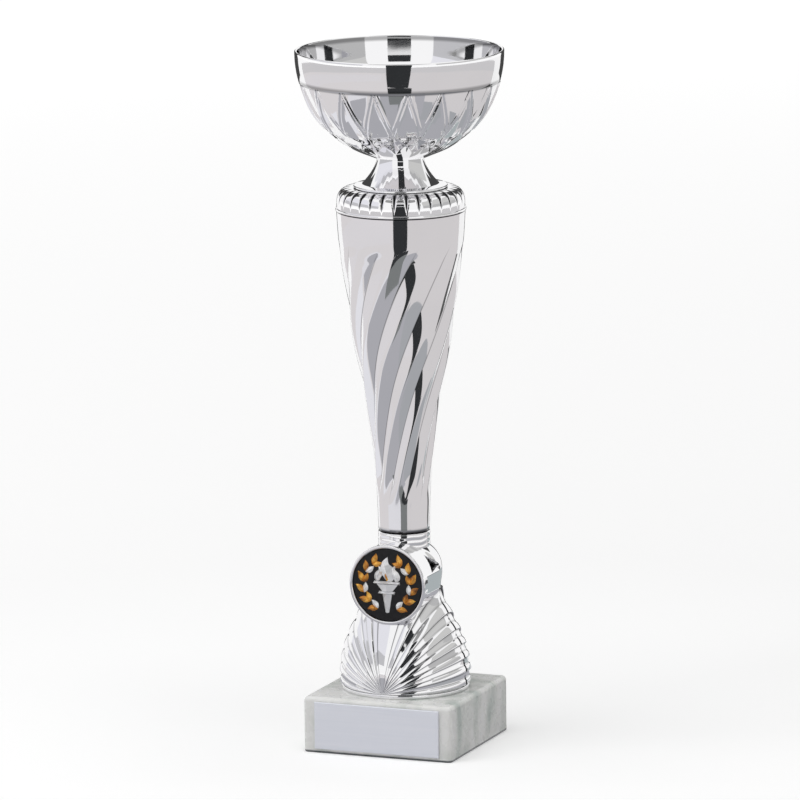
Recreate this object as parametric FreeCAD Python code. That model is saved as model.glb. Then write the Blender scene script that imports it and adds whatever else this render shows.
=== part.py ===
import FreeCAD, Part
import math
import os

# Column trophy: a marble block, a fan-ribbed riser with a round centre, a twisted column,
# a gadrooned cap, and an open cup on a trumpet foot, all held by one tie rod.
# Millimetres. The origin is the middle of the block's underside, +Z is up, the front is -Y.

# ---- heights of the stacked pieces ----
BASE_HEIGHT = 19.0
RISER_HEIGHT = 53.8
COLUMN_HEIGHT = 109.2
CAP_HEIGHT = 7.7
FOOT_HEIGHT = 10.4
BOWL_HEIGHT = 35.9

# ---- tie rod and its fasteners ----
ROD_RADIUS = 2.5
ROD_CLEARANCE = 0.25
ROD_END_DEPTH = 2.0
NUT_ACROSS_FLATS = 8.0
NUT_THICKNESS = 4.0
WASHER_RADIUS = 7.5
WASHER_THICKNESS = 1.0
INSERT_WALL = 1.2
INSERT_LENGTH = 8.0
INSERT_ROD_GRIP = 4.0
SCREW_HEAD_RADIUS = 4.75
SCREW_HEAD_HEIGHT = 3.0
SCREW_GAP = 0.6
CUP_WASHER_RADIUS = 6.0

# ---- marble block ----
BASE_WIDTH = 53.3
BASE_CORNER_RADIUS = 1.6
BASE_TOP_RADIUS = 1.5
BASE_UNDER_RADIUS = 0.5
COUNTERBORE_CLEARANCE = 1.5
COUNTERBORE_DEPTH = 9.0

# ---- engraving plate, with its margins on the block's front face ----
PLATE_SIDE_MARGIN = 4.3
PLATE_MARGIN = 1.5
PLATE_THICKNESS = 0.6
FILM_THICKNESS = 0.15
FILM_MARGIN = 0.5

# ---- riser ----
RISER_WALL = 2.0
RING_RADIUS = 21.6
RING_HEIGHT = 1.4
RING_STEP = 0.4
WAIST_RADIUS = 12.1
WAIST_HEIGHT = 34.0
NECK_RADIUS = 8.7
NECK_HEIGHT = 5.2
BELL_SWELL = 1.8
BELL_SWELL_HEIGHT = 15.2
WAIST_FLARE = 0.9
WAIST_FLARE_HEIGHT = 7.8
HEAD_SWELL = 2.7

# ---- fans of ribs on the bell, angles in degrees from the foot ring ----
FAN_START = 1.0
FAN_PITCH = 11.5
FAN_RIB_SPREAD = 5.6
FAN_RIB_COUNT = 7
FAN_HEART = 2.6
FAN_RIB_RISE = 0.65
FAN_GAP = 0.55

# ---- round centre and its holder ----
CENTRE_RADIUS = 12.5
CENTRE_CLEARANCE = 0.1
CENTRE_THICKNESS = 1.8
CENTRE_SETBACK = 0.2
PAD_RADIUS = 11.0
PAD_THICKNESS = 0.4
HOLDER_REACH = 16.2
HOLDER_TOP_GAP = 2.25
HOLDER_RIM_WALL = 1.15
HOLDER_RIM_DEPTH = 1.4
HOLDER_STEP = 0.55

# ---- pockets in the flanks of the holder: (depth behind the axis, height over its centre) ----
POCKET_CORNERS = [(-6.2, 8.9), (-0.1, 4.8), (-6.9, 3.4)]
POCKET_DEPTH = 2.6
POCKET_CORNER_RADIUS = 0.6

# ---- flats on the flanks of the holder, below the pockets ----
FLAT_CUT = 0.33
FLAT_HALF_HEIGHT = 2.8
FLAT_SETBACK = 3.2

# ---- column ----
COLUMN_FOOT_RADIUS = 8.6
COLUMN_HEAD_RADIUS = 21.6
COLUMN_EASE = 1.0
COLUMN_WALL = 1.7
COLUMN_FLOOR = 3.0
COLUMN_SHAPE = [(0.0, 0.0), (0.045, 0.14), (0.115, 0.235), (0.27, 0.385), (0.575, 0.575),
                (0.83, 0.79), (0.955, 0.915), (1.0, 1.0)]
LOBE_COUNT = 10
LOBE_DEPTH = 1.6
LOBE_FADE = 0.6
LOBE_FOOT_PLAIN = 11.0
LOBE_HEAD_PLAIN = 9.2
LOBE_TWIST = 1.38
LOBE_PHASE = 30.5
LOBE_PHASE_HEIGHT = 68.0
LOBE_SECTIONS = 12
SPIGOT_RADIUS = 6.4
SPIGOT_LENGTH = 3.0
SPIGOT_CLEARANCE = 0.15

# ---- cap ----
CAP_LIP_OVERHANG = 0.3
CAP_LIP_HEIGHT = 1.0
CAP_SIDE_STEP = 0.4
CAP_SHOULDER = 4.9
CAP_ROUNDNESS = 2.6
CAP_SECTIONS = [0.0, 0.2, 0.42, 0.64, 0.84, 1.0]
CAP_WALL = 1.8
CAP_SPIGOT_LENGTH = 4.0
CAP_SPIGOT_WALL = 1.4
GADROON_COUNT = 32
GADROON_DEPTH = 0.9
GADROON_PHASE = 4.3

# ---- foot of the cup ----
FLANGE_INSET = 0.8
FLANGE_EDGE = 0.9
FOOT_SHOULDER = 2.9
FOOT_SHOULDER_HEIGHT = 1.3
FOOT_SWEEP = 2.3
FOOT_STEM_RADIUS = 7.7
FOOT_STEM_FLARE = 0.4
FOOT_STEM_HEIGHT = 3.5

# ---- cup ----
BOWL_RADIUS = 35.0
BOWL_WALL = 1.5
BOWL_RIM_WALL = 1.1
BOWL_FLOOR = 2.4
BOWL_WELL_RADIUS = 7.5
BAND_HEIGHT = 10.7
BAND_TAPER = 1.4
BAND_BULGE = 0.4
FACET_COUNT = 18
FACET_PHASE = 6.4
FACET_STEP = 0.45
FACET_WAIST_RADIUS = 25.6
FACET_WAIST_HEIGHT = 10.2
FACET_CREASE_RADIUS = 22.6
FACET_CREASE_HEIGHT = 7.3
FACET_LOW_RADIUS = 16.4
FACET_LOW_HEIGHT = 3.1
FACET_PAD_RADIUS = 9.4

# ---- places and fits that follow from the sizes ----
RISER_Z = BASE_HEIGHT
COLUMN_Z = RISER_Z + RISER_HEIGHT
CAP_Z = COLUMN_Z + COLUMN_HEIGHT
FOOT_Z = CAP_Z + CAP_HEIGHT
BOWL_Z = FOOT_Z + FOOT_HEIGHT
RIM_Z = BOWL_Z + BOWL_HEIGHT
SEAM_Z = RIM_Z - BAND_HEIGHT
INSERT_Z = BOWL_Z - INSERT_LENGTH
ROD_TOP_Z = INSERT_Z + INSERT_ROD_GRIP
ROD_HOLE_RADIUS = ROD_RADIUS + ROD_CLEARANCE
INSERT_RADIUS = ROD_RADIUS + INSERT_WALL
FRONT_Y = -BASE_WIDTH / 2
PLATE_WIDTH = BASE_WIDTH - 2 * PLATE_SIDE_MARGIN
PLATE_HEIGHT = BASE_HEIGHT - 2 * PLATE_MARGIN
MOUTH_RADIUS = RING_RADIUS - RING_STEP
HOLDER_RADIUS = CENTRE_RADIUS + HOLDER_RIM_WALL
HOLDER_BODY_RADIUS = HOLDER_RADIUS - HOLDER_STEP
HOLDER_Z = COLUMN_Z - HOLDER_TOP_GAP - HOLDER_RADIUS
CENTRE_FRONT_Y = -HOLDER_REACH + CENTRE_SETBACK
CENTRE_BACK_Y = CENTRE_FRONT_Y + CENTRE_THICKNESS
SEAM_RADIUS = BOWL_RADIUS - BAND_TAPER
CAP_LIP_RADIUS = COLUMN_HEAD_RADIUS + CAP_LIP_OVERHANG
CAP_SIDE_RADIUS = CAP_LIP_RADIUS - CAP_SIDE_STEP
CAP_TOP_RADIUS = CAP_SIDE_RADIUS - CAP_SHOULDER
FLANGE_RADIUS = CAP_TOP_RADIUS - FLANGE_INSET

UP = FreeCAD.Vector(0, 0, 1)
BACKWARD = FreeCAD.Vector(0, 1, 0)
TOUCH = 0.01


def at(x, y, z):
    return FreeCAD.Vector(x, y, z)


def cylinder(radius, height, z):
    return Part.makeCylinder(radius, height, at(0, 0, z), UP)


def centre_cylinder(radius, depth, front_y):
    """A cylinder on the axis of the round centre, which runs from the front to the back."""
    return Part.makeCylinder(radius, depth, at(0, front_y, HOLDER_Z), BACKWARD)


def ring(outer_radius, inner_radius, height, z):
    return cylinder(outer_radius, height, z).cut(cylinder(inner_radius, height, z))


def line(start, end):
    """A straight outline edge between two (radius, height) points in the XZ plane."""
    return Part.LineSegment(at(start[0], 0, start[1]), at(end[0], 0, end[1])).toShape()


def curve(points):
    """A smooth outline edge through (radius, height) points in the XZ plane."""
    spline = Part.BSplineCurve()
    spline.interpolate([at(radius, 0, height) for radius, height in points])
    return spline.toShape()


def arc(start, middle, end):
    """A round outline edge through three (radius, height) points in the XZ plane."""
    points = [at(radius, 0, height) for radius, height in (start, middle, end)]
    return Part.Arc(*points).toShape()


def poles(points):
    """A Bezier outline edge with these (radius, height) poles in the XZ plane."""
    bezier = Part.BezierCurve()
    bezier.setPoles([at(radius, 0, height) for radius, height in points])
    return bezier.toShape()


def turned(edges):
    """The solid of revolution about Z of a closed outline of edges."""
    face = Part.Face(Part.Wire(edges))
    return Part.Solid(face.revolve(at(0, 0, 0), UP, 360))


def flat_face(corners):
    """The flat face with these corners."""
    return Part.Face(Part.makePolygon(corners + [corners[0]]))


def polar(radius, degrees, height):
    """A point by its radius and its angle from the front (-Y), turning towards +X."""
    angle = math.radians(degrees - 90)
    return at(radius * math.cos(angle), radius * math.sin(angle), height)


def edges_above(solid, z):
    return [edge for edge in solid.Edges if edge.BoundBox.ZMin > z - TOUCH]


def edges_below(solid, z):
    return [edge for edge in solid.Edges if edge.BoundBox.ZMax < z + TOUCH]


def edges_along(solid, direction):
    """The straight edges that run along a direction."""
    found = []
    for edge in solid.Edges:
        tangent = edge.tangentAt(edge.FirstParameter)
        if abs(tangent.dot(direction)) > 1 - TOUCH:
            found.append(edge)
    return found


def lobed_section(radius, depth, count, phase, height):
    """A closed ring of convex arcs that meet in sharp valleys, depth inside the radius."""
    pitch = 360.0 / count
    valley = radius - depth
    arcs = []
    for lobe in range(count):
        start = phase + lobe * pitch
        crest = polar(radius, start + pitch / 2, height)
        arcs.append(Part.Arc(polar(valley, start, height), crest,
                             polar(valley, start + pitch, height)).toShape())
    return Part.Wire(arcs)


# ---- marble block, plate and film ----

def marble_base():
    """The block with eased edges, its rod hole and the counterbore for nut and washer."""
    half = BASE_WIDTH / 2
    block = Part.makeBox(BASE_WIDTH, BASE_WIDTH, BASE_HEIGHT, at(-half, -half, 0))
    block = block.makeFillet(BASE_CORNER_RADIUS, edges_along(block, UP))
    block = block.makeFillet(BASE_TOP_RADIUS, edges_above(block, BASE_HEIGHT))
    block = block.makeFillet(BASE_UNDER_RADIUS, edges_below(block, 0))
    counterbore = cylinder(WASHER_RADIUS + COUNTERBORE_CLEARANCE, COUNTERBORE_DEPTH, 0)
    return block.cut([counterbore, cylinder(ROD_HOLE_RADIUS, BASE_HEIGHT, 0)])


def plate_adhesive():
    width = PLATE_WIDTH - 2 * FILM_MARGIN
    height = PLATE_HEIGHT - 2 * FILM_MARGIN
    corner = at(-width / 2, FRONT_Y - FILM_THICKNESS, PLATE_MARGIN + FILM_MARGIN)
    return Part.makeBox(width, FILM_THICKNESS, height, corner)


def engraving_plate():
    """The blank plate, with its front edges bevelled."""
    front_y = FRONT_Y - FILM_THICKNESS - PLATE_THICKNESS
    corner = at(-PLATE_WIDTH / 2, front_y, PLATE_MARGIN)
    plate = Part.makeBox(PLATE_WIDTH, PLATE_THICKNESS, PLATE_HEIGHT, corner)
    front = [edge for edge in plate.Edges if edge.BoundBox.YMax < front_y + TOUCH]
    return plate.makeChamfer(PLATE_THICKNESS / 3, front)


# ---- riser ----

def bell_curve(rise):
    """The bell from its mouth to the waist, a cubic curve, moved outwards by rise."""
    mouth_z = RISER_Z + RING_HEIGHT
    waist_z = RISER_Z + WAIST_HEIGHT
    return poles([
        (MOUTH_RADIUS + rise, mouth_z),
        (MOUTH_RADIUS + BELL_SWELL + rise, mouth_z + BELL_SWELL_HEIGHT),
        (WAIST_RADIUS + WAIST_FLARE + rise, waist_z - WAIST_FLARE_HEIGHT),
        (WAIST_RADIUS + rise, waist_z),
    ])


def head_curve(rise):
    """The rounded head from the waist to the neck, a cubic curve, moved outwards by rise."""
    waist_z = RISER_Z + WAIST_HEIGHT
    neck_z = COLUMN_Z - NECK_HEIGHT
    tall = neck_z - waist_z
    return poles([
        (WAIST_RADIUS + rise, waist_z),
        (WAIST_RADIUS + rise, waist_z + tall / 4),
        (WAIST_RADIUS + HEAD_SWELL + rise, neck_z - tall / 3),
        (NECK_RADIUS + rise, neck_z),
    ])


def bell_turned(rise):
    """The bell alone as one turned solid, up to the waist."""
    mouth = (MOUTH_RADIUS + rise, RISER_Z + RING_HEIGHT)
    waist = (WAIST_RADIUS + rise, RISER_Z + WAIST_HEIGHT)
    return turned([
        line((0, mouth[1]), mouth),
        bell_curve(rise),
        line(waist, (0, waist[1])),
        line((0, waist[1]), (0, mouth[1])),
    ])


def riser_turned(rise, high_z):
    """The ring's width, the bell, the head and the neck as one turned solid up to high_z."""
    mouth = (MOUTH_RADIUS + rise, RISER_Z + RING_HEIGHT)
    neck_radius = NECK_RADIUS + rise
    return turned([
        line((0, RISER_Z), (mouth[0], RISER_Z)),
        line((mouth[0], RISER_Z), mouth),
        bell_curve(rise),
        head_curve(rise),
        line((neck_radius, COLUMN_Z - NECK_HEIGHT), (neck_radius, high_z)),
        line((neck_radius, high_z), (0, high_z)),
        line((0, high_z), (0, RISER_Z)),
    ])


def foot_ring():
    solid = cylinder(RING_RADIUS, RING_HEIGHT, RISER_Z)
    return solid.makeFillet(RING_HEIGHT / 3, edges_above(solid, RISER_Z + RING_HEIGHT))


def fan_ribs():
    """Raised ribs that spread like a scallop shell from the middle of the foot ring.

    Each is a wedge of the thicker bell, between two planes through the focus, on the
    front and on the back. They stop short of the side line, where the two fans meet.
    """
    thick = bell_turned(FAN_RIB_RISE)
    reach = 2 * RISER_HEIGHT
    focus_z = RISER_Z + RING_HEIGHT
    ribs = []
    for rib in range(FAN_RIB_COUNT):
        low = math.radians(FAN_START + rib * FAN_PITCH)
        high = low + math.radians(FAN_RIB_SPREAD)
        spokes = [(FAN_HEART, low), (reach, low), (reach, high), (FAN_HEART, high)]
        for side in (-1, 1):
            for face_side in (-1, 1):
                corners = [at(side * length * math.cos(angle), face_side * FAN_GAP,
                              focus_z + length * math.sin(angle)) for length, angle in spokes]
                outward = at(0, face_side * 2 * RING_RADIUS, 0)
                ribs.append(thick.common(flat_face(corners).extrude(outward)))
    return ribs


def holder():
    """The round holder: a drum along the centre's axis, with a thin stepped rim in front."""
    rim = centre_cylinder(HOLDER_RADIUS, HOLDER_RIM_DEPTH, -HOLDER_REACH)
    depth = HOLDER_REACH - HOLDER_RIM_DEPTH
    return rim.fuse(centre_cylinder(HOLDER_BODY_RADIUS, depth, -depth))


def flank_pockets():
    """The rounded triangular pockets moulded into both flanks of the holder."""
    floor_x = HOLDER_BODY_RADIUS - POCKET_DEPTH
    pockets = []
    for side in (-1, 1):
        points = [at(side * floor_x, y, HOLDER_Z + z) for y, z in POCKET_CORNERS]
        prism = flat_face(points).extrude(at(side * HOLDER_RADIUS, 0, 0))
        along = edges_along(prism, at(1, 0, 0))
        pockets.append(prism.makeFillet(POCKET_CORNER_RADIUS, along))
    return pockets


def flank_flats():
    """What is cut from both flanks of the holder to leave its flats."""
    flat_x = HOLDER_BODY_RADIUS - FLAT_CUT
    front_y = HOLDER_RIM_DEPTH + FLAT_SETBACK - HOLDER_REACH
    flats = []
    for side in (-1, 1):
        near_x = min(side * flat_x, side * HOLDER_RADIUS)
        corner = at(near_x, front_y, HOLDER_Z - FLAT_HALF_HEIGHT)
        flats.append(Part.makeBox(HOLDER_RADIUS - flat_x, -front_y, 2 * FLAT_HALF_HEIGHT, corner))
    return flats


def riser():
    """The moulding between block and column: ring, fan-ribbed bell, head, neck and holder."""
    outside = riser_turned(0, COLUMN_Z).multiFuse([foot_ring(), holder()] + fan_ribs())
    roof_z = COLUMN_Z - NECK_HEIGHT - RISER_WALL
    below_roof = cylinder(2 * RING_RADIUS, roof_z - RISER_Z, RISER_Z)
    inside = riser_turned(-RISER_WALL, COLUMN_Z).common(below_roof)
    recess_depth = CENTRE_SETBACK + CENTRE_THICKNESS + PAD_THICKNESS
    recess = centre_cylinder(CENTRE_RADIUS, recess_depth, -HOLDER_REACH)
    socket_depth = SPIGOT_LENGTH + SPIGOT_CLEARANCE
    socket = cylinder(SPIGOT_RADIUS + SPIGOT_CLEARANCE, socket_depth, COLUMN_Z - socket_depth)
    bore = cylinder(ROD_HOLE_RADIUS, RISER_HEIGHT, RISER_Z)
    return outside.cut([inside, recess, socket, bore] + flank_pockets() + flank_flats())


def disc_adhesive():
    return centre_cylinder(PAD_RADIUS, PAD_THICKNESS, CENTRE_BACK_Y)


def centre_disc():
    """The round centre, with its front edge bevelled."""
    disc = centre_cylinder(CENTRE_RADIUS - CENTRE_CLEARANCE, CENTRE_THICKNESS, CENTRE_FRONT_Y)
    front = [edge for edge in disc.Edges if edge.BoundBox.YMax < CENTRE_FRONT_Y + TOUCH]
    return disc.makeChamfer(CENTRE_THICKNESS / 6, front)


# ---- column ----

def column_radius():
    """The function from height to radius over the lobe crests: slim foot, swelling head."""
    swell = COLUMN_HEAD_RADIUS - COLUMN_FOOT_RADIUS
    points = [at(COLUMN_FOOT_RADIUS + swell * share, 0, COLUMN_HEIGHT * up)
              for share, up in COLUMN_SHAPE]
    spline = Part.BSplineCurve()
    spline.interpolate(Points=points, Parameters=[point.z for point in points])
    return lambda height: spline.value(height).x


def lobe_depth(height):
    """How deep the valleys are at a height: none at both ends, with a smooth fade."""
    end = COLUMN_HEIGHT - LOBE_HEAD_PLAIN
    if height <= LOBE_FOOT_PLAIN or height >= end:
        return 0.0
    share = (height - LOBE_FOOT_PLAIN) / (end - LOBE_FOOT_PLAIN)
    return LOBE_DEPTH * math.sin(math.pi * share) ** LOBE_FADE


def lobe_heights():
    """The heights of the column's sections: halves of both plain ends, even steps over the lobes."""
    long = COLUMN_HEIGHT - LOBE_HEAD_PLAIN - LOBE_FOOT_PLAIN
    along = [LOBE_FOOT_PLAIN + long * step / (LOBE_SECTIONS - 1) for step in range(LOBE_SECTIONS)]
    head_middle = COLUMN_HEIGHT - LOBE_HEAD_PLAIN / 2
    return [0.0, LOBE_FOOT_PLAIN / 2] + along + [head_middle, COLUMN_HEIGHT]


def column():
    """The hollow column: ten twisted lobes lofted through sections, with a smooth inside."""
    radius_at = column_radius()
    sections = []
    inner = []
    for height in lobe_heights():
        radius = radius_at(height)
        depth = lobe_depth(height)
        phase = LOBE_PHASE + LOBE_TWIST * (height - LOBE_PHASE_HEIGHT)
        sections.append(lobed_section(radius, depth, LOBE_COUNT, phase, COLUMN_Z + height))
        if height > COLUMN_FLOOR:
            inner.append((radius - depth - COLUMN_WALL, COLUMN_Z + height))
    outside = Part.makeLoft(sections, True, False)
    outside = outside.makeFillet(COLUMN_EASE, edges_below(outside, COLUMN_Z))
    outside = outside.fuse(cylinder(SPIGOT_RADIUS, SPIGOT_LENGTH, COLUMN_Z - SPIGOT_LENGTH))
    floor_z = COLUMN_Z + COLUMN_FLOOR
    inside = turned([
        line((0, floor_z), (inner[0][0], floor_z)),
        line((inner[0][0], floor_z), inner[0]),
        curve(inner),
        line(inner[-1], (0, inner[-1][1])),
        line((0, inner[-1][1]), (0, floor_z)),
    ])
    bore = cylinder(ROD_HOLE_RADIUS, COLUMN_HEIGHT, COLUMN_Z - SPIGOT_LENGTH)
    return outside.cut([inside, bore])


# ---- cap ----

def column_cap():
    """The lid: a lip over the column's rim, a gadrooned shoulder and a flat top."""
    lip = cylinder(CAP_LIP_RADIUS, CAP_LIP_HEIGHT, CAP_Z)
    rims = edges_above(lip, CAP_Z + CAP_LIP_HEIGHT) + edges_below(lip, CAP_Z)
    lip = lip.makeFillet(CAP_LIP_HEIGHT / 3, rims)
    sections = []
    for share in CAP_SECTIONS:
        bulge = math.sqrt(1 - share ** CAP_ROUNDNESS)
        radius = CAP_TOP_RADIUS + (CAP_SIDE_RADIUS - CAP_TOP_RADIUS) * bulge
        depth = GADROON_DEPTH * math.sin(math.pi * share)
        height = CAP_LIP_HEIGHT + (CAP_HEIGHT - CAP_LIP_HEIGHT) * share
        at_z = CAP_Z + height
        sections.append(lobed_section(radius, depth, GADROON_COUNT, GADROON_PHASE, at_z))
    shoulder = Part.makeLoft(sections, True, False)
    column_end_radius = column_radius()(COLUMN_HEIGHT - CAP_SPIGOT_LENGTH)
    spigot_radius = column_end_radius - COLUMN_WALL - SPIGOT_CLEARANCE
    spigot_z = CAP_Z - CAP_SPIGOT_LENGTH
    spigot = cylinder(spigot_radius, CAP_SPIGOT_LENGTH, spigot_z)
    hollow_radius = min(spigot_radius - CAP_SPIGOT_WALL, CAP_TOP_RADIUS)
    hollow = cylinder(hollow_radius, CAP_SPIGOT_LENGTH + CAP_HEIGHT - CAP_WALL, spigot_z)
    bore = cylinder(ROD_HOLE_RADIUS, CAP_HEIGHT, CAP_Z)
    return shoulder.multiFuse([lip, spigot]).cut([hollow, bore])


# ---- foot of the cup ----

def cup_foot():
    """The trumpet between cap and cup: a thin-edged flange that sweeps up into the stem."""
    edge_radius = FLANGE_RADIUS - FLANGE_EDGE / 2
    edge = (edge_radius, FOOT_Z + FLANGE_EDGE)
    shoulder = (FLANGE_RADIUS - FOOT_SHOULDER, FOOT_Z + FOOT_SHOULDER_HEIGHT)
    outside = turned([
        line((0, FOOT_Z), (edge_radius, FOOT_Z)),
        arc((edge_radius, FOOT_Z), (FLANGE_RADIUS, FOOT_Z + FLANGE_EDGE / 2),
            edge),
        line(edge, shoulder),
        poles([shoulder, (shoulder[0] - FOOT_SWEEP, shoulder[1] + FOOT_SWEEP),
               (FOOT_STEM_RADIUS + FOOT_STEM_FLARE, BOWL_Z - FOOT_STEM_HEIGHT),
               (FOOT_STEM_RADIUS, BOWL_Z)]),
        line((FOOT_STEM_RADIUS, BOWL_Z), (0, BOWL_Z)),
        line((0, BOWL_Z), (0, FOOT_Z)),
    ])
    seat = cylinder(INSERT_RADIUS, INSERT_LENGTH, INSERT_Z)
    bore = cylinder(ROD_HOLE_RADIUS, FOOT_HEIGHT, FOOT_Z)
    return outside.cut([seat, bore])


# ---- cup ----

def cut_glass():
    """The faceted lower part of the cup, a solid with flat faces.

    Points of the rim zigzag lie at the seam, points of the waist zigzag lie half a pitch
    on, and lower rings close the form towards the pad. Down-pointing triangles hang from
    the seam. Up-pointing triangles stand between them, creased down their middles.
    """
    pitch = 360.0 / FACET_COUNT
    waist_z = BOWL_Z + FACET_WAIST_HEIGHT
    crease_z = BOWL_Z + FACET_CREASE_HEIGHT
    low_z = BOWL_Z + FACET_LOW_HEIGHT
    faces = []
    seam_ring = []
    pad_ring = []
    for facet in range(FACET_COUNT):
        here = FACET_PHASE + facet * pitch
        half = here + pitch / 2
        after = here + pitch
        peak = polar(SEAM_RADIUS - FACET_STEP, here, SEAM_Z)
        next_peak = polar(SEAM_RADIUS - FACET_STEP, after, SEAM_Z)
        valley = polar(FACET_WAIST_RADIUS, half, waist_z)
        crease = polar(FACET_CREASE_RADIUS, here, crease_z)
        next_crease = polar(FACET_CREASE_RADIUS, after, crease_z)
        low = polar(FACET_LOW_RADIUS, half, low_z)
        pad = polar(FACET_PAD_RADIUS, here, BOWL_Z)
        next_pad = polar(FACET_PAD_RADIUS, after, BOWL_Z)
        seam_ring.append(peak)
        pad_ring.append(pad)
        faces.append(flat_face([peak, next_peak, valley]))
        faces.append(flat_face([peak, valley, crease]))
        faces.append(flat_face([next_peak, next_crease, valley]))
        faces.append(flat_face([crease, valley, low]))
        faces.append(flat_face([next_crease, low, valley]))
        faces.append(flat_face([crease, low, pad]))
        faces.append(flat_face([next_crease, next_pad, low]))
        faces.append(flat_face([pad, low, next_pad]))
    faces.append(flat_face(seam_ring))
    faces.append(flat_face(pad_ring))
    shell = Part.makeShell(faces)
    shell.sewShape()
    return Part.Solid(shell)


def cup_inside():
    """The room in the cup: a flat well for the washer, then a smooth wall behind the facets."""
    flat_share = math.cos(math.pi / FACET_COUNT)
    floor_z = BOWL_Z + BOWL_FLOOR
    low = (FACET_LOW_RADIUS * flat_share - BOWL_WALL, floor_z + FACET_LOW_HEIGHT)
    crease = (FACET_CREASE_RADIUS * flat_share - BOWL_WALL, BOWL_Z + FACET_CREASE_HEIGHT)
    seam = ((SEAM_RADIUS - FACET_STEP) * flat_share - BOWL_WALL, SEAM_Z)
    middle = ((crease[0] + seam[0]) / 2, (crease[1] + seam[1]) / 2)
    rim = (BOWL_RADIUS - BOWL_RIM_WALL, RIM_Z)
    return turned([
        line((0, floor_z), (BOWL_WELL_RADIUS, floor_z)),
        curve([(BOWL_WELL_RADIUS, floor_z), low, crease, middle, seam, rim]),
        line(rim, (0, RIM_Z)),
        line((0, RIM_Z), (0, floor_z)),
    ])


def bowl():
    """The open cup: a plain band over the cut-glass part."""
    band = turned([
        line((0, SEAM_Z), (SEAM_RADIUS, SEAM_Z)),
        curve([
            (SEAM_RADIUS, SEAM_Z),
            (SEAM_RADIUS + BAND_TAPER / 2 + BAND_BULGE, SEAM_Z + BAND_HEIGHT / 2),
            (BOWL_RADIUS, RIM_Z),
        ]),
        line((BOWL_RADIUS, RIM_Z), (0, RIM_Z)),
        line((0, RIM_Z), (0, SEAM_Z)),
    ])
    bore = cylinder(ROD_HOLE_RADIUS, BOWL_FLOOR, BOWL_Z)
    return cut_glass().fuse(band).cut([cup_inside(), bore])


# ---- tie rod and fasteners ----

def threaded_rod():
    return cylinder(ROD_RADIUS, ROD_TOP_Z - ROD_END_DEPTH, ROD_END_DEPTH)


def base_washer():
    z = COUNTERBORE_DEPTH - WASHER_THICKNESS
    return ring(WASHER_RADIUS, ROD_HOLE_RADIUS, WASHER_THICKNESS, z)


def base_nut():
    z = COUNTERBORE_DEPTH - WASHER_THICKNESS - NUT_THICKNESS
    corner = NUT_ACROSS_FLATS / math.sqrt(3)
    hexagon = flat_face([polar(corner, 60 * side, z) for side in range(6)])
    return hexagon.extrude(at(0, 0, NUT_THICKNESS)).cut(cylinder(ROD_RADIUS, NUT_THICKNESS, z))


def foot_insert():
    return ring(INSERT_RADIUS, ROD_RADIUS, INSERT_LENGTH, INSERT_Z)


def bowl_washer():
    return ring(CUP_WASHER_RADIUS, ROD_HOLE_RADIUS, WASHER_THICKNESS, BOWL_Z + BOWL_FLOOR)


def bowl_screw():
    """The screw that holds the cup: a bevelled head on the washer, a shank in the insert."""
    head_z = BOWL_Z + BOWL_FLOOR + WASHER_THICKNESS
    head = cylinder(SCREW_HEAD_RADIUS, SCREW_HEAD_HEIGHT, head_z)
    head = head.makeChamfer(SCREW_HEAD_HEIGHT / 3, edges_above(head, head_z + SCREW_HEAD_HEIGHT))
    end_z = ROD_TOP_Z + SCREW_GAP
    return head.fuse(cylinder(ROD_RADIUS, head_z - end_z, end_z))


PIECES = [
    marble_base, plate_adhesive, engraving_plate,
    riser, disc_adhesive, centre_disc,
    column, column_cap, cup_foot, bowl,
    threaded_rod, base_washer, base_nut, foot_insert, bowl_washer, bowl_screw,
]

os.makedirs("parts", exist_ok=True)
for piece in PIECES:
    piece().removeSplitter().exportStep("parts/" + piece.__name__ + ".step")
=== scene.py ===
import math

import bmesh
import bpy
import numpy as np
from mathutils import Matrix, Vector


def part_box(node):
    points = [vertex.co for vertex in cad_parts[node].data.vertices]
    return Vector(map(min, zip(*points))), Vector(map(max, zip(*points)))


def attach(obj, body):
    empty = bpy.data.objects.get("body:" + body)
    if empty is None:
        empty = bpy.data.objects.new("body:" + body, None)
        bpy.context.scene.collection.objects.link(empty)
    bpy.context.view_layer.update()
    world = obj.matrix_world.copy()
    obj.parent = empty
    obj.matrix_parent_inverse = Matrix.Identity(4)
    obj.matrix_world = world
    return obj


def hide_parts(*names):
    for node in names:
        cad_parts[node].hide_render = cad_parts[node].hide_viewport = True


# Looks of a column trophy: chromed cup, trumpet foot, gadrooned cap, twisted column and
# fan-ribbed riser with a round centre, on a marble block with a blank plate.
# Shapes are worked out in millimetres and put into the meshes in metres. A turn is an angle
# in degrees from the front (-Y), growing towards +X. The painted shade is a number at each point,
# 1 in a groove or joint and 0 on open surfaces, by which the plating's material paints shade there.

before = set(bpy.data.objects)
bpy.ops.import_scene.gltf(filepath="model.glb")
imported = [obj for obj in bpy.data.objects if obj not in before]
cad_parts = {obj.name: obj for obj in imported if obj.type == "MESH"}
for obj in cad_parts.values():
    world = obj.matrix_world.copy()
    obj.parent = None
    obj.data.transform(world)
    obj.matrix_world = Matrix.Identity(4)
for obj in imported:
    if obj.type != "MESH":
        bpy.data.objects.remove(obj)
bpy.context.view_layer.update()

MM = 0.001
JOIN_REACH = 2e-7  # metres within which points are one


# ---------------------------------------------------------------------------------------
# heights of the stacked pieces, from the CAD parts in model.glb
# ---------------------------------------------------------------------------------------

def height_of(node, corner):
    """The height in millimetres of a node's underside (corner 0) or top (corner 1)."""
    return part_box(node)[corner].z / MM


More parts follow.
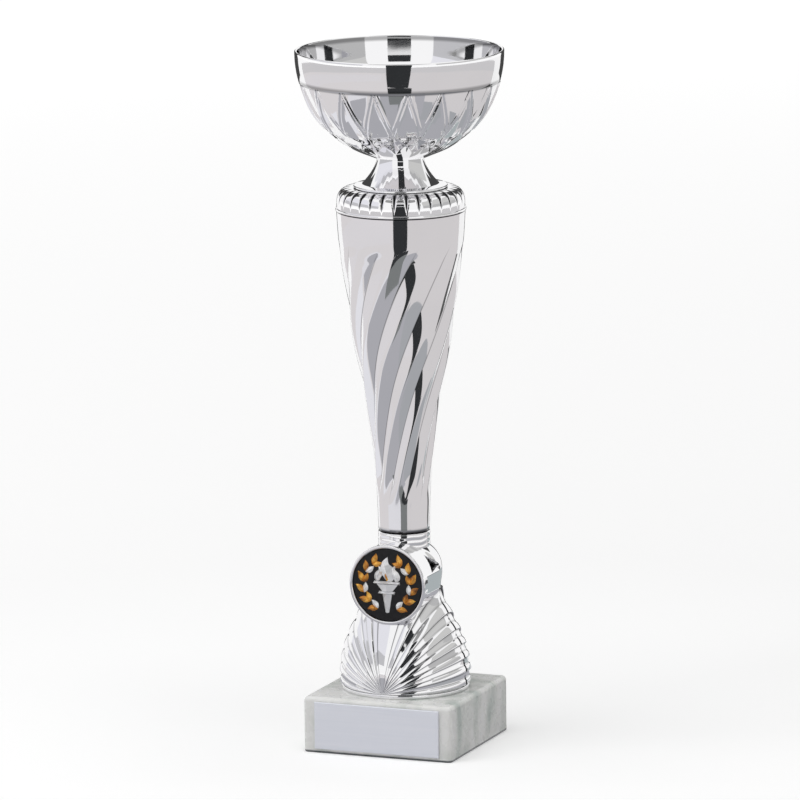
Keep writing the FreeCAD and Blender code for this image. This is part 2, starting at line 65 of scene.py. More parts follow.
BASE_TOP = height_of("marble_base", 1)
RISER_TOP = height_of("riser", 1)
CAP_TOP = height_of("cup_foot", 0)
FOOT_TOP = height_of("bowl", 0)
RIM_TOP = height_of("bowl", 1)
COLUMN_FOOT = RISER_TOP
CAP_SPIGOT_LENGTH = 4.0
CAP_FOOT = height_of("column_cap", 0) + CAP_SPIGOT_LENGTH
COLUMN_LENGTH = CAP_FOOT - COLUMN_FOOT

# the photograph's camera: turns in degrees, places in metres, lens in millimetres
CAMERA_TURN = 21.66
CAMERA_REACH = 2.600
CAMERA_HEIGHT = 0.608
CAMERA_PITCH = 10.69
CAMERA_ROLL = -0.59
CAMERA_LENS = 354.8
CAMERA_SHIFT = -0.0035


# ---------------------------------------------------------------------------------------
# mesh making
# ---------------------------------------------------------------------------------------

def grid_faces(rows, columns, wrap=False, flip=False):
    """Quads of a grid of points stored row by row; wrap joins the last column to the first."""
    index = np.arange(rows * columns).reshape(rows, columns)
    here = index if wrap else index[:, :-1]
    ahead = np.roll(index, -1, axis=1) if wrap else index[:, 1:]
    quads = np.stack([here[:-1], ahead[:-1], ahead[1:], here[1:]], axis=-1).reshape(-1, 4)
    return quads[:, ::-1] if flip else quads


def around(radius, turn, height):
    """Points at a radius, a turn from the front in degrees, and a height, all arrays."""
    angle = np.radians(turn)
    radius, angle, height = np.broadcast_arrays(radius, angle, height)
    return np.stack([radius * np.sin(angle), -radius * np.cos(angle), height], axis=-1)


def make_piece(name, parts, material, sharp=30.0):
    """One mesh object from (points, faces, painted shade) parts in millimetres, its doubles joined.

    Edges that turn by more than sharp degrees stay crisp and the rest is shaded smooth.
    """
    points, faces, painted_shades, start = [], [], [], 0
    for part_points, part_faces, *painted_shade in parts:
        flat = np.asarray(part_points, float).reshape(-1, 3)
        points.append(flat * MM)
        faces.extend((np.asarray(part_faces) + start).tolist())
        painted_shades.append(np.ravel(painted_shade[0]) if painted_shade else np.zeros(len(flat)))
        start += len(flat)
    mesh = bpy.data.meshes.new(name)
    mesh.from_pydata(np.concatenate(points).tolist(), [], faces)
    # Painted shade: the per-point number by which the chrome is darkened in grooves and joints.
    shade_attribute = mesh.attributes.new("painted_shade", "FLOAT", "POINT")
    shade_attribute.data.foreach_set("value", np.concatenate(painted_shades))
    edit = bmesh.new()
    edit.from_mesh(mesh)
    bmesh.ops.remove_doubles(edit, verts=edit.verts, dist=JOIN_REACH)
    edit.to_mesh(mesh)
    edit.free()
    mesh.shade_smooth()
    mesh.set_sharp_from_angle(angle=math.radians(sharp))
    mesh.materials.append(material)
    piece = bpy.data.objects.new(name, mesh)
    bpy.context.scene.collection.objects.link(piece)
    return piece


def axis_row(columns, height):
    """A row of points that all lie on the Z axis at a height, to close a surface there."""
    return np.zeros((1, columns, 3)) + [0, 0, height]


def turned_part(profile, steps=256):
    """A surface of revolution: the (radius, height) profile carried round the Z axis."""
    profile = np.asarray(profile, float)
    turn = np.linspace(0, 360, steps, endpoint=False)
    points = around(profile[:, :1], turn, profile[:, 1:])
    return points, grid_faces(len(profile), steps, wrap=True)


def bezier(poles, steps):
    """A cubic Bezier curve through steps + 1 points: each pole weighted by its Bernstein term."""
    share = np.linspace(0, 1, steps + 1)[:, None]
    a, b, c, d = np.asarray(poles, float)
    back = 1 - share
    return back**3 * a + 3 * back**2 * share * b + 3 * back * share**2 * c + share**3 * d


def rounded(profile, radius, steps=5):
    """A profile whose inner corners are cut by quadratic curves, radius from each corner."""
    profile = [np.asarray(point, float) for point in profile]
    share = np.linspace(0, 1, steps + 1)[:, None]
    out = [profile[0][None]]
    for before, corner, after in zip(profile, profile[1:], profile[2:]):
        back, ahead = before - corner, after - corner
        start = corner + back * min(0.5, radius / np.linalg.norm(back))
        end = corner + ahead * min(0.5, radius / np.linalg.norm(ahead))
        out.append((1 - share)**2 * start + 2 * (1 - share) * share * corner + share**2 * end)
    out.append(profile[-1][None])
    return np.concatenate(out)


# ---------------------------------------------------------------------------------------
# materials
# ---------------------------------------------------------------------------------------

def shader(name):
    """A new material, its node tree, its surface node and its Object coordinates."""
    material = bpy.data.materials.new(name)
    material.use_nodes = True
    tree = material.node_tree
    surface = tree.nodes["Principled BSDF"]
    coordinates = tree.nodes.new("ShaderNodeTexCoord").outputs["Object"]
    return material, tree, surface, coordinates


def noise(tree, coordinates, scale, detail=3.0, stretch=(1.0, 1.0, 1.0), roughness=0.5):
    """A noise value on Object coordinates, stretched along the axes."""
    mapping = tree.nodes.new("ShaderNodeMapping")
    mapping.inputs["Scale"].default_value = stretch
    tree.links.new(coordinates, mapping.inputs["Vector"])
    node = tree.nodes.new("ShaderNodeTexNoise")
    node.inputs["Scale"].default_value = scale
    node.inputs["Detail"].default_value = detail
    node.inputs["Roughness"].default_value = roughness
    tree.links.new(mapping.outputs["Vector"], node.inputs["Vector"])
    return node.outputs["Fac"]


def ramp(tree, value, stops):
    """A colour ramp over a value; stops are (position, colour)."""
    node = tree.nodes.new("ShaderNodeValToRGB")
    elements = node.color_ramp.elements
    while len(elements) < len(stops):
        elements.new(0.5)
    for element, (position, colour) in zip(elements, stops):
        element.position = position
        element.color = (*colour, 1.0)
    tree.links.new(value, node.inputs["Fac"])
    return node.outputs["Color"]


def spread(tree, value, low, high, start=0.0, end=1.0):
    """A value between start and end spread over the range from low to high."""
    node = tree.nodes.new("ShaderNodeMapRange")
    node.inputs["From Min"].default_value = start
    node.inputs["From Max"].default_value = end
    node.inputs["To Min"].default_value = low
    node.inputs["To Max"].default_value = high
    tree.links.new(value, node.inputs["Value"])
    return node.outputs["Result"]


def mix(tree, share, first, second, blend="MIX"):
    """A mix of two colours, each a socket or a colour, by a share that is a socket or a number."""
    node = tree.nodes.new("ShaderNodeMixRGB")
    node.blend_type = blend
    for socket, value in zip(node.inputs, (share, first, second)):
        if isinstance(value, bpy.types.NodeSocket):
            tree.links.new(value, socket)
        else:
            socket.default_value = value
    return node.outputs["Color"]


def bump(tree, surface, value, distance):
    """Small relief from a value, distance metres high."""
    node = tree.nodes.new("ShaderNodeBump")
    node.inputs["Distance"].default_value = distance
    node.inputs["Strength"].default_value = 1.0
    tree.links.new(value, node.inputs["Height"])
    tree.links.new(node.outputs["Normal"], surface.inputs["Normal"])


def bright_chrome():
    """Vacuum-plated silver: mirror-bright, with a faint orange peel and uneven polish.

    The painted shade attribute darkens it towards black: painted shade in grooves and joints.
    """
    material, tree, surface, coordinates = shader("bright_chrome")
    surface.inputs["Metallic"].default_value = 1.0
    tone = ramp(tree, noise(tree, coordinates, 35.0),
                [(0.3, (0.89, 0.89, 0.90)), (0.7, (0.93, 0.925, 0.935))])
    # Painted shade: the base colour runs to near black by the per-point painted shade.
    shade_attribute = tree.nodes.new("ShaderNodeAttribute")
    shade_attribute.attribute_name = "painted_shade"
    shaded_tone = mix(tree, shade_attribute.outputs["Fac"], tone, (0.025, 0.025, 0.028, 1.0))
    tree.links.new(shaded_tone, surface.inputs["Base Color"])
    polish = spread(tree, noise(tree, coordinates, 120.0), 0.025, 0.055)
    tree.links.new(polish, surface.inputs["Roughness"])
    bump(tree, surface, noise(tree, coordinates, 90.0, detail=1.0), 0.00004)
    return material


def marble():
    """Polished white marble: soft grey-green clouds drawn out upwards, and a painted contact shadow
    along the ground.

    A broad noise shifts the place by a few millimetres before the clouds are looked up.
    """
    material, tree, surface, coordinates = shader("white_marble")
    warp = tree.nodes.new("ShaderNodeTexNoise")
    warp.inputs["Scale"].default_value = 60.0
    warp.inputs["Detail"].default_value = 1.0
    tree.links.new(coordinates, warp.inputs["Vector"])
    turned = tree.nodes.new("ShaderNodeMapping")
    turned.inputs["Rotation"].default_value = (math.radians(6), math.radians(10), 0.4)
    turned.inputs["Location"].default_value = (0.013, 0.004, 0.0)
    shifted = mix(tree, 0.004, coordinates, warp.outputs["Color"], blend="LINEAR_LIGHT")
    tree.links.new(shifted, turned.inputs["Vector"])
    cloud = noise(tree, turned.outputs["Vector"], 105.0, detail=1.2, stretch=(1.0, 1.0, 0.25),
                  roughness=0.55)
    tone = ramp(tree, cloud, [(0.28, (0.50, 0.55, 0.52)), (0.42, (0.70, 0.72, 0.69)),
                              (0.54, (0.82, 0.82, 0.805)), (0.75, (0.88, 0.88, 0.87))])
    # Painted shadow: the lowest millimetre runs to near black, for the contact shadow under the
    # block.
    split = tree.nodes.new("ShaderNodeSeparateXYZ")
    tree.links.new(coordinates, split.inputs[0])
    clear_of_painted_shadow = spread(tree, split.outputs["Z"], 0.0, 1.0, start=0.0005, end=0.0010)
    tree.links.new(mix(tree, clear_of_painted_shadow, (0.07, 0.08, 0.09, 1.0), tone),
                   surface.inputs["Base Color"])
    tree.links.new(spread(tree, noise(tree, coordinates, 300.0), 0.22, 0.34),
                   surface.inputs["Roughness"])
    surface.inputs["Subsurface Weight"].default_value = 0.15
    surface.inputs["Subsurface Radius"].default_value = (1.0, 1.0, 0.9)
    surface.inputs["Subsurface Scale"].default_value = 0.002
    bump(tree, surface, noise(tree, coordinates, 500.0), 0.00002)
    return material


def plate_metal():
    """Anodised aluminium with a fine brushed grain along its length."""
    material, tree, surface, coordinates = shader("plate_metal")
    surface.inputs["Metallic"].default_value = 0.15
    grain = noise(tree, coordinates, 900.0, detail=2.0, stretch=(0.03, 1.0, 1.0))
    tone = ramp(tree, grain, [(0.3, (0.84, 0.86, 0.935)), (0.7, (0.87, 0.885, 0.955))])
    tree.links.new(tone, surface.inputs["Base Color"])
    tree.links.new(spread(tree, grain, 0.34, 0.46), surface.inputs["Roughness"])
    bump(tree, surface, grain, 0.000004)
    return material


def gloss_black():
    """The black field of the round centre: glossy lacquer with faint dust in it."""
    material, tree, surface, coordinates = shader("gloss_black")
    tone = ramp(tree, noise(tree, coordinates, 700.0),
                [(0.3, (0.008, 0.008, 0.009)), (0.8, (0.017, 0.016, 0.018))])
    tree.links.new(tone, surface.inputs["Base Color"])
    tree.links.new(spread(tree, noise(tree, coordinates, 150.0), 0.28, 0.40),
                   surface.inputs["Roughness"])
    surface.inputs["Specular IOR Level"].default_value = 0.25
    return material


def cast_silver():
    """The centre's silver relief: satin metal, a little darker in patches."""
    material, tree, surface, coordinates = shader("cast_silver")
    surface.inputs["Metallic"].default_value = 0.35
    tone = ramp(tree, noise(tree, coordinates, 400.0),
                [(0.3, (0.86, 0.87, 0.89)), (0.7, (0.95, 0.95, 0.96))])
    tree.links.new(tone, surface.inputs["Base Color"])
    tree.links.new(spread(tree, noise(tree, coordinates, 900.0), 0.14, 0.24),
                   surface.inputs["Roughness"])
    return material


def amber_lacquer():
    """The centre's amber relief: clear orange lacquer that runs from gold to brown."""
    material, tree, surface, coordinates = shader("amber_lacquer")
    surface.inputs["Metallic"].default_value = 0.35
    tone = ramp(tree, noise(tree, coordinates, 350.0, detail=2.0),
                [(0.32, (0.22, 0.075, 0.012)), (0.5, (0.60, 0.24, 0.03)),
                 (0.68, (0.92, 0.50, 0.09))])
    tree.links.new(tone, surface.inputs["Base Color"])
    tree.links.new(spread(tree, noise(tree, coordinates, 600.0), 0.18, 0.32),
                   surface.inputs["Roughness"])
    return material


def worn_metal(name, dark, light, stretch):
    """Plain hardware metal, uneven in tone and polish along its turning marks."""
    material, tree, surface, coordinates = shader(name)
    surface.inputs["Metallic"].default_value = 1.0
    grain = noise(tree, coordinates, 500.0, detail=4.0, stretch=stretch)
    tree.links.new(ramp(tree, grain, [(0.3, dark), (0.7, light)]), surface.inputs["Base Color"])
    tree.links.new(spread(tree, grain, 0.25, 0.45), surface.inputs["Roughness"])
    bump(tree, surface, grain, 0.00001)
    return material


def clear_film():
    """Double-sided tape: milky and matt, with small bubbles."""
    material, tree, surface, coordinates = shader("clear_film")
    tone = ramp(tree, noise(tree, coordinates, 800.0),
                [(0.4, (0.70, 0.70, 0.68)), (0.6, (0.82, 0.82, 0.80))])
    tree.links.new(tone, surface.inputs["Base Color"])
    surface.inputs["Roughness"].default_value = 0.6
    return material


CHROME = bright_chrome()
MARBLE = marble()
PLATE = plate_metal()
BLACK = gloss_black()
SILVER = cast_silver()
AMBER = amber_lacquer()
ZINC = worn_metal("zinc_plate", (0.50, 0.51, 0.53), (0.68, 0.69, 0.71), (1.0, 1.0, 0.2))
BRASS = worn_metal("turned_brass", (0.60, 0.44, 0.20), (0.78, 0.62, 0.34), (1.0, 1.0, 0.2))
FILM = clear_film()


# ---------------------------------------------------------------------------------------
# twisted column
# ---------------------------------------------------------------------------------------

COLUMN_SLIM = 8.6
COLUMN_WIDE = 21.6
COLUMN_EASE = 0.9
COLUMN_OUTLINE = [(0.0, 0.0), (0.045, 0.14), (0.115, 0.235), (0.27, 0.385), (0.575, 0.575),
                  (0.83, 0.79), (0.955, 0.915), (1.0, 1.0)]  # (share of widening, of length)
COLUMN_ROWS = 226
LOBES = 10
LOBE_COLUMNS = 32
LOBE_DEPTH = 1.6
LOBE_CREST = 0.16
LOBE_LEAN = 0.46
LOBE_FADE = 0.6
LOBE_LOW = 9.0
LOBE_HIGH = 100.0
LOBE_ONSET = 12.0
LOBE_CLOSE = 6.0
LOBE_TWIST = 1.38
LOBE_TURN = 30.5
LOBE_TURN_HEIGHT = 68.0
# Painted shade in the column's valleys and at its foot joint, row by row.
VALLEY_SHADE = 0.6
COLUMN_FOOT_SHADE = [1.0, 1.0, 1.0, 1.0, 0.8, 0.2]


def smooth_through(stops, at):
    """Values at the places at, on the natural cubic spline through (place, value) stops.

    The second differences at the stops solve the usual three-term equations, and each span
    blends its two end values and second differences.
    """
    place, value = np.asarray(stops, float).T
    gap = np.diff(place)
    slope = np.diff(value) / gap
    inner = np.diag(2 * (gap[:-1] + gap[1:])) + np.diag(gap[1:-1], 1) + np.diag(gap[1:-1], -1)
    bend = np.concatenate([[0.0], np.linalg.solve(inner, 6 * np.diff(slope)), [0.0]])
    span = np.clip(np.searchsorted(place, at) - 1, 0, len(gap) - 1)
    ahead = (at - place[span]) / gap[span]
    back = 1 - ahead
    curve = (back**3 - back) * bend[span] + (ahead**3 - ahead) * bend[span + 1]
    return back * value[span] + ahead * value[span + 1] + gap[span]**2 / 6 * curve


def smooth_step(share):
    """A share that starts and ends level: three times its square less twice its cube."""
    share = np.clip(share, 0, 1)
    return share**2 * (3 - 2 * share)


def column_radius(height):
    """The column's radius over its lobe crests, at heights over its foot."""
    share = smooth_through([(up, out) for out, up in COLUMN_OUTLINE], height / COLUMN_LENGTH)
    return COLUMN_SLIM + (COLUMN_WIDE - COLUMN_SLIM) * share


def lobe_depth(height):
    """The valleys' depth at heights over the foot: a power of a half sine along the lobes.

    A smooth step brings it up at the lobes' foot, and another takes it away at their head.
    """
    along = np.clip((height - LOBE_LOW) / (LOBE_HIGH - LOBE_LOW), 0, 1)
    onset = smooth_step((height - LOBE_LOW) / LOBE_ONSET)
    close = smooth_step((LOBE_HIGH - height) / LOBE_CLOSE)
    return LOBE_DEPTH * np.sin(np.pi * along)**LOBE_FADE * onset * close


def lobe_drop(across):
    """Share of the depth at places from -1 to 1 across a lobe.

    A hyperbola, round on the crest and nearly straight down to the sharp valleys. The crest
    leans to one side.
    """
    lean = 2 * LOBE_LEAN - 1
    from_crest = (across - lean) / np.where(across > lean, 1 - lean, 1 + lean)
    round_off = np.sqrt(from_crest**2 + LOBE_CREST**2) - LOBE_CREST
    return round_off / (math.sqrt(1 + LOBE_CREST**2) - LOBE_CREST)


def column_part():
    """Ten convex lobes that twist as they climb: outline less depth times drop.

    The turn grows evenly with height, and a quarter circle eases the foot's edge. The
    valleys, the joint at the foot and the joint under the cap are darkened with painted shade.
    """
    height = np.concatenate([[0.0, 0.15, 0.45, 0.9],
                             np.linspace(1.5, COLUMN_LENGTH - 0.3, COLUMN_ROWS),
                             [COLUMN_LENGTH - 0.2, COLUMN_LENGTH]])
    depth = lobe_depth(height)
    under = np.maximum(0, COLUMN_EASE - height)
    crest = column_radius(height) - COLUMN_EASE + np.sqrt(COLUMN_EASE**2 - under**2)
    across = np.linspace(-1, 1, LOBE_COLUMNS + 1)[:-1]
    lobe = np.arange(LOBES)[:, None] * 360 / LOBES
    turn = (lobe + (across + 1) * 180 / LOBES).ravel()
    twist = LOBE_TURN + LOBE_TWIST * (height - LOBE_TURN_HEIGHT)
    drop = np.tile(lobe_drop(across), LOBES)
    outer = around(crest[:, None] - depth[:, None] * drop, turn + twist[:, None],
                   COLUMN_FOOT + height[:, None])
    rows = np.concatenate([axis_row(len(turn), COLUMN_FOOT), outer,
                           axis_row(len(turn), CAP_FOOT)])
    # Painted shade: dark in the valleys, at the foot joint and under the cap.
    painted_shade = np.zeros(rows.shape[:2])
    valley = np.tile(np.where(across == -1, VALLEY_SHADE, 0.0), LOBES)
    painted_shade[1:-1] = valley * np.clip(2 * depth / LOBE_DEPTH, 0, 1)[:, None]
    painted_shade[:len(COLUMN_FOOT_SHADE)] = np.array(COLUMN_FOOT_SHADE)[:, None]
    painted_shade[-3:] = 1.0
    return rows, grid_faces(len(rows), len(turn), wrap=True), painted_shade


# ---------------------------------------------------------------------------------------
# gadrooned cap
# ---------------------------------------------------------------------------------------

CAP_LIP_RADIUS = 21.9
CAP_LIP_HEIGHT = 1.0
CAP_LIP_EDGE = [(0.3, 0.0), (0.08, 0.1), (0.0, 0.35), (0.0, 0.65), (0.08, 0.9), (0.3, 1.0)]
CAP_SIDE_RADIUS = 21.5
CAP_TOP_RADIUS = 16.6
CAP_BAND = 1.3
CAP_SHOULDER_POWER = 0.78
CAP_ROWS = 49
GADROONS = 32
GADROON_COLUMNS = 20
GADROON_DEPTH = 1.1
GADROON_STEEPNESS = 0.96
GADROON_TURN = 4.3
GADROON_NARROW = 0.15


def cap_lip():
    """Outline of the flat underside, the thin lip with its (inset, height) edge, and the band."""
    lip = [(CAP_LIP_RADIUS - inset, CAP_FOOT + up) for inset, up in CAP_LIP_EDGE]
    step = CAP_FOOT + CAP_LIP_HEIGHT
    return np.array([(0.0, CAP_FOOT), *lip, (CAP_SIDE_RADIUS, step + 0.02),
                     (CAP_SIDE_RADIUS, step + 0.2)])


def cap_part():
    """The cap's shoulder: a quarter of a superellipse from the plain band to the flat top.

    Round it, 32 gadroons are parted by sharp valleys with circular sides. A valley starts as
    a point above the band, and grows wider and deeper to where the shoulder turns in.
    """
    share = np.linspace(0, 1, CAP_ROWS)
    up = np.sin(share * np.pi / 2)**CAP_SHOULDER_POWER
    out = np.cos(share * np.pi / 2)**CAP_SHOULDER_POWER
    low = CAP_FOOT + CAP_LIP_HEIGHT + CAP_BAND
    radius = CAP_TOP_RADIUS + (CAP_SIDE_RADIUS - CAP_TOP_RADIUS) * out
    height = low + (CAP_TOP - low) * up
    depth = GADROON_DEPTH * np.sin(np.pi * share**1.1)**0.8
    across = np.sin(np.linspace(-1, 1, GADROON_COLUMNS + 1)[:-1] * np.pi / 2)
    width = GADROON_NARROW + (1 - GADROON_NARROW) * share[:, None]
    dip = np.clip((np.abs(across) - 1) / width + 1, 0, 1)
    drop = np.tile(1 - np.sqrt(1 - GADROON_STEEPNESS * dip**2), GADROONS)
    gadroon = np.arange(GADROONS)[:, None] * 360 / GADROONS
    turn = (gadroon + (across + 1) * 180 / GADROONS + GADROON_TURN).ravel()
    shoulder = around(radius[:, None] - depth[:, None] * drop, turn, height[:, None])
    outline = cap_lip()
    lip = around(outline[:, :1], turn, outline[:, 1:])
    rows = np.concatenate([lip, shoulder, axis_row(len(turn), CAP_TOP)])
    # Painted shade: dark under the lip and in the gadroons' valleys.
    painted_shade = np.zeros(rows.shape[:2])
    painted_shade[:3] = 1.0
    valley = np.tile(np.clip((dip - 0.45) / 0.25, 0, 1), GADROONS)
    painted_shade[len(lip):-1] = valley * np.clip(3 * depth / GADROON_DEPTH - 0.2, 0, 1)[:, None]
    return rows, grid_faces(len(rows), len(turn), wrap=True), painted_shade


# ---------------------------------------------------------------------------------------
# trumpet foot of the cup
# ---------------------------------------------------------------------------------------

FLANGE_RADIUS = 15.8
FLANGE_EDGE = 0.9
FOOT_STEP = 0.4
FOOT_RADIUS = 12.9
FOOT_SWEEP = 2.3
STEM_RADIUS = 7.7
STEM_FLARE = 0.4
STEM_HEIGHT = 3.5
# Painted shade under the flange and where the stem meets the cup, row by row.
FLANGE_SHADE = [1.0, 1.0, 1.0, 0.9, 0.6, 0.2]
STEM_SHADE = [0.3, 0.8, 1.0]


def foot_part():
    """A round-edged flange whose top sweeps into the stem on one cubic curve."""
    half = FLANGE_EDGE / 2
    swing = np.radians(np.linspace(-90, 90, 13))
    rim = np.stack([FLANGE_RADIUS - half + half * np.cos(swing),
                    CAP_TOP + half + half * np.sin(swing)], axis=-1)
    low = CAP_TOP + FLANGE_EDGE + FOOT_STEP
    sweep = bezier([(FOOT_RADIUS, low), (FOOT_RADIUS - FOOT_SWEEP, low + FOOT_SWEEP),
                    (STEM_RADIUS + STEM_FLARE, FOOT_TOP - STEM_HEIGHT),
                    (STEM_RADIUS, FOOT_TOP)], 60)
    points, faces = turned_part([(0, CAP_TOP), *rim, *sweep, (0, FOOT_TOP)])
    # Painted shade at the flange's edge underneath and at the stem's top.
    painted_shade = np.zeros(points.shape[:2])
    painted_shade[:len(FLANGE_SHADE)] = np.array(FLANGE_SHADE)[:, None]
    painted_shade[-len(STEM_SHADE):] = np.array(STEM_SHADE)[:, None]
    return points, faces, painted_shade


# ---------------------------------------------------------------------------------------
# cup
# ---------------------------------------------------------------------------------------

BOWL_RADIUS = 34.99
BAND_HEIGHT = 10.7
BAND_BULGE = 0.35
SEAM_HEIGHT = RIM_TOP - FOOT_TOP - BAND_HEIGHT
SEAM_RADIUS = 33.6
FACETS = 18
HALF_FACET = 180 / FACETS
FACET_TURN = 6.4
BOWL_OUTLINE = [(-0.2, 8.9), (1.0, 11.9), (2.4, 15.2), (3.9, 17.9), (6.6, 21.7), (9.3, 24.7),
                (12.0, 27.1), (14.7, 29.0), (17.5, 30.5), (20.2, 31.6), (22.9, 32.6),
                (25.4, 33.4)]  # (height over the foot, radius)
WAIST_HEIGHT = 10.2
CREASE_HEIGHT = 7.3
LOW_HEIGHT = 3.1
CREASE_DEPTH = 0.8
DIAMOND_DEPTH = 0.7
PAD_DEPTH = 0.42
BEAD_WIDTH = 1.25
BEAD_RISE = 0.42
RIM_WALL = 0.9
BOWL_FLOOR = 2.4
WELL_RADIUS = 7.5
INSIDE_OUTLINE = [(2.45, 7.5), (5.5, 15.0), (7.4, 20.9), (11.0, 24.2), (17.0, 28.2),
                  (24.8, 31.9), (25.6, 32.3), (30.0, 33.4), (35.5, 34.1)]
# Painted shade at the seam's ledge and at the rim's inner edge.
SEAM_SHADE = 0.55


def bowl_radius(height):
    """The cut part's smooth outline: radius over the panels at heights over the foot."""
    return smooth_through(BOWL_OUTLINE, height)


def mirrored_wedges(turn, radius, height):
    """Repeats half of a facet, given from its crease outwards, to the full circle.

    The half wedge's columns run from the crease (turn 0) to half a pitch; the other half is
    the mirror image, and the whole is repeated once per facet.
    """
    whole = np.concatenate([-turn[:, :0:-1], turn[:, :-1]], axis=1)
    turns = np.concatenate([whole + 360 / FACETS * facet for facet in range(FACETS)], axis=1)
    radius, height = [np.tile(np.concatenate([half[:, :0:-1], half[:, :-1]], axis=1), FACETS)
                      for half in (radius, height)]
    return turns + FACET_TURN, radius, height


def wedge_columns(line, bead):
    """Turns of the columns of half a facet in each row, with the bead's edges on columns.

    line is each row's turn of the slanting border and bead is each row's half width of the
    border, all in degrees.
    """
    inner = np.linspace(0, 1, 5)[:-1]
    middle = np.linspace(-1, 1, 13)[:-1]
    outer = np.linspace(0, 1, 5)
    low = np.maximum(line - bead, 0)[:, None]
    high = np.minimum(line + bead, HALF_FACET)[:, None]
    across = low + (high - low) * (middle + 1) / 2
    return np.concatenate([inner * low, across, high + (HALF_FACET - high) * outer], axis=1)


def facet_rows():
    """Half a facet above its creases, lowest row first, as turns, radii and heights.

    A slanting border of two beads (two humps of a squared sine) runs from half a pitch at
    the foot to the crease, turn 0, at the seam. On its inner side the surface is pressed in
    evenly towards the crease, less and less towards the seam.
    """
    share = np.linspace(1, 0, 33)
    line = HALF_FACET * share
    bead = np.degrees(BEAD_WIDTH / bowl_radius(SEAM_HEIGHT + (WAIST_HEIGHT - SEAM_HEIGHT) * share))
    turn = wedge_columns(line, bead)
    ground = CREASE_HEIGHT + (WAIST_HEIGHT - CREASE_HEIGHT) * turn / HALF_FACET
    height = SEAM_HEIGHT + (ground - SEAM_HEIGHT) * share[:, None]
    away = (turn - line[:, None]) / bead[:, None]
    inside = np.clip(-away, 0, None) * bead[:, None] / np.maximum(line, 1e-6)[:, None]
    pressed = CREASE_DEPTH * share[:, None] * np.clip(inside, 0, 1)
    hump = np.where(np.abs(away) < 1, np.sin(np.pi * away)**2, 0)
    return turn, bowl_radius(height) - pressed + BEAD_RISE * hump, height


def diamond_rows(turn):
    """Half a facet below its creases, lowest row first, for one row of turns.

    A diamond is pressed in by a half sine of the way down it, most at half a pitch. The
    part from there down to the pad is pressed in by a half sine too, most at the crease.
    """
    outward = turn / HALF_FACET
    top = CREASE_HEIGHT + (WAIST_HEIGHT - CREASE_HEIGHT) * outward
    middle = CREASE_HEIGHT + (LOW_HEIGHT - CREASE_HEIGHT) * outward
    down = np.linspace(0, 1, 13)[:0:-1, None]
    diamond = top + (middle - top) * down
    diamond_radius = bowl_radius(diamond) - DIAMOND_DEPTH * np.sin(np.pi * down) * outward
    down = np.linspace(0, 1, 9)[:0:-1, None]
    pad = middle * (1 - down)
    pad_radius = bowl_radius(pad) - PAD_DEPTH * np.sin(np.pi * down) * (1 - outward)
    height = np.concatenate([pad, diamond])
    return (np.broadcast_to(turn, height.shape), np.concatenate([pad_radius, diamond_radius]),
            height)


def shell_outline():
    """The cup above its seam, as an outline with its painted shade: ledge, band, rim, inside,
    floor.

    The band tapers evenly, with a half sine of bulge. The rim is a half circle, and the
    inside is the spline through INSIDE_OUTLINE. The joints at the seam and rim get painted shade.
    """
    half = RIM_WALL / 2
    top = SEAM_HEIGHT + BAND_HEIGHT - half
    rise = np.linspace(0, 1, 13)
    band_radius = SEAM_RADIUS + (BOWL_RADIUS - SEAM_RADIUS) * rise
    band = np.stack([band_radius + BAND_BULGE * np.sin(np.pi * rise),
                     SEAM_HEIGHT + (BAND_HEIGHT - half) * rise], axis=-1)
    swing = np.radians(np.linspace(0, 180, 9))
    rim = np.stack([BOWL_RADIUS - half + half * np.cos(swing), top + half * np.sin(swing)],
                   axis=-1)
    height = np.linspace(top, BOWL_FLOOR + 0.1, 40)
    inner = np.stack([smooth_through(INSIDE_OUTLINE, height), height], axis=-1)
    ledge = [(SEAM_RADIUS - 0.15, SEAM_HEIGHT - 0.05), (SEAM_RADIUS, SEAM_HEIGHT + 0.1)]
    floor = [(WELL_RADIUS, BOWL_FLOOR), (0, BOWL_FLOOR)]
    outer = np.concatenate([ledge, band[1:], rim[1:]])
    outline = np.concatenate([outer, inner[1:], floor])
    # Painted shade at the seam's ledge and where the rim meets the inside.
    painted_dark = np.zeros(len(outline))
    painted_dark[:3] = SEAM_SHADE
    painted_dark[len(outer) - 1:len(outer) + 1] = SEAM_SHADE
    return outline, painted_dark


def cup_part():
    """The cup as one closed surface: cut lower part, plain band, rim, inside and floor.

    From the seam down, each facet has a smooth triangle that hangs from the seam and an
    upright triangle between slanting borders. Below them lie diamonds, down to the pad.
    """
    upper = facet_rows()
    lower = diamond_rows(upper[0][:1])
    turns, radii, heights = mirrored_wedges(*map(np.concatenate, zip(lower, upper)))
    cut = around(radii, turns, FOOT_TOP + heights)
    outline, painted_dark = shell_outline()
    shell = around(outline[:, :1], turns[-1], FOOT_TOP + outline[:, 1:])
    rows = np.concatenate([axis_row(turns.shape[1], FOOT_TOP), cut, shell])
    # Painted shade at the seam and at the joints of the shell above it.
    painted_shade = np.zeros(rows.shape[:2])
    painted_shade[len(cut)] = SEAM_SHADE
    painted_shade[len(cut) + 1:] = painted_dark[:, None]
    return rows, grid_faces(*rows.shape[:2], wrap=True), painted_shade


# ---------------------------------------------------------------------------------------
# riser: bell with its fans, foot ring, head and neck
# ---------------------------------------------------------------------------------------

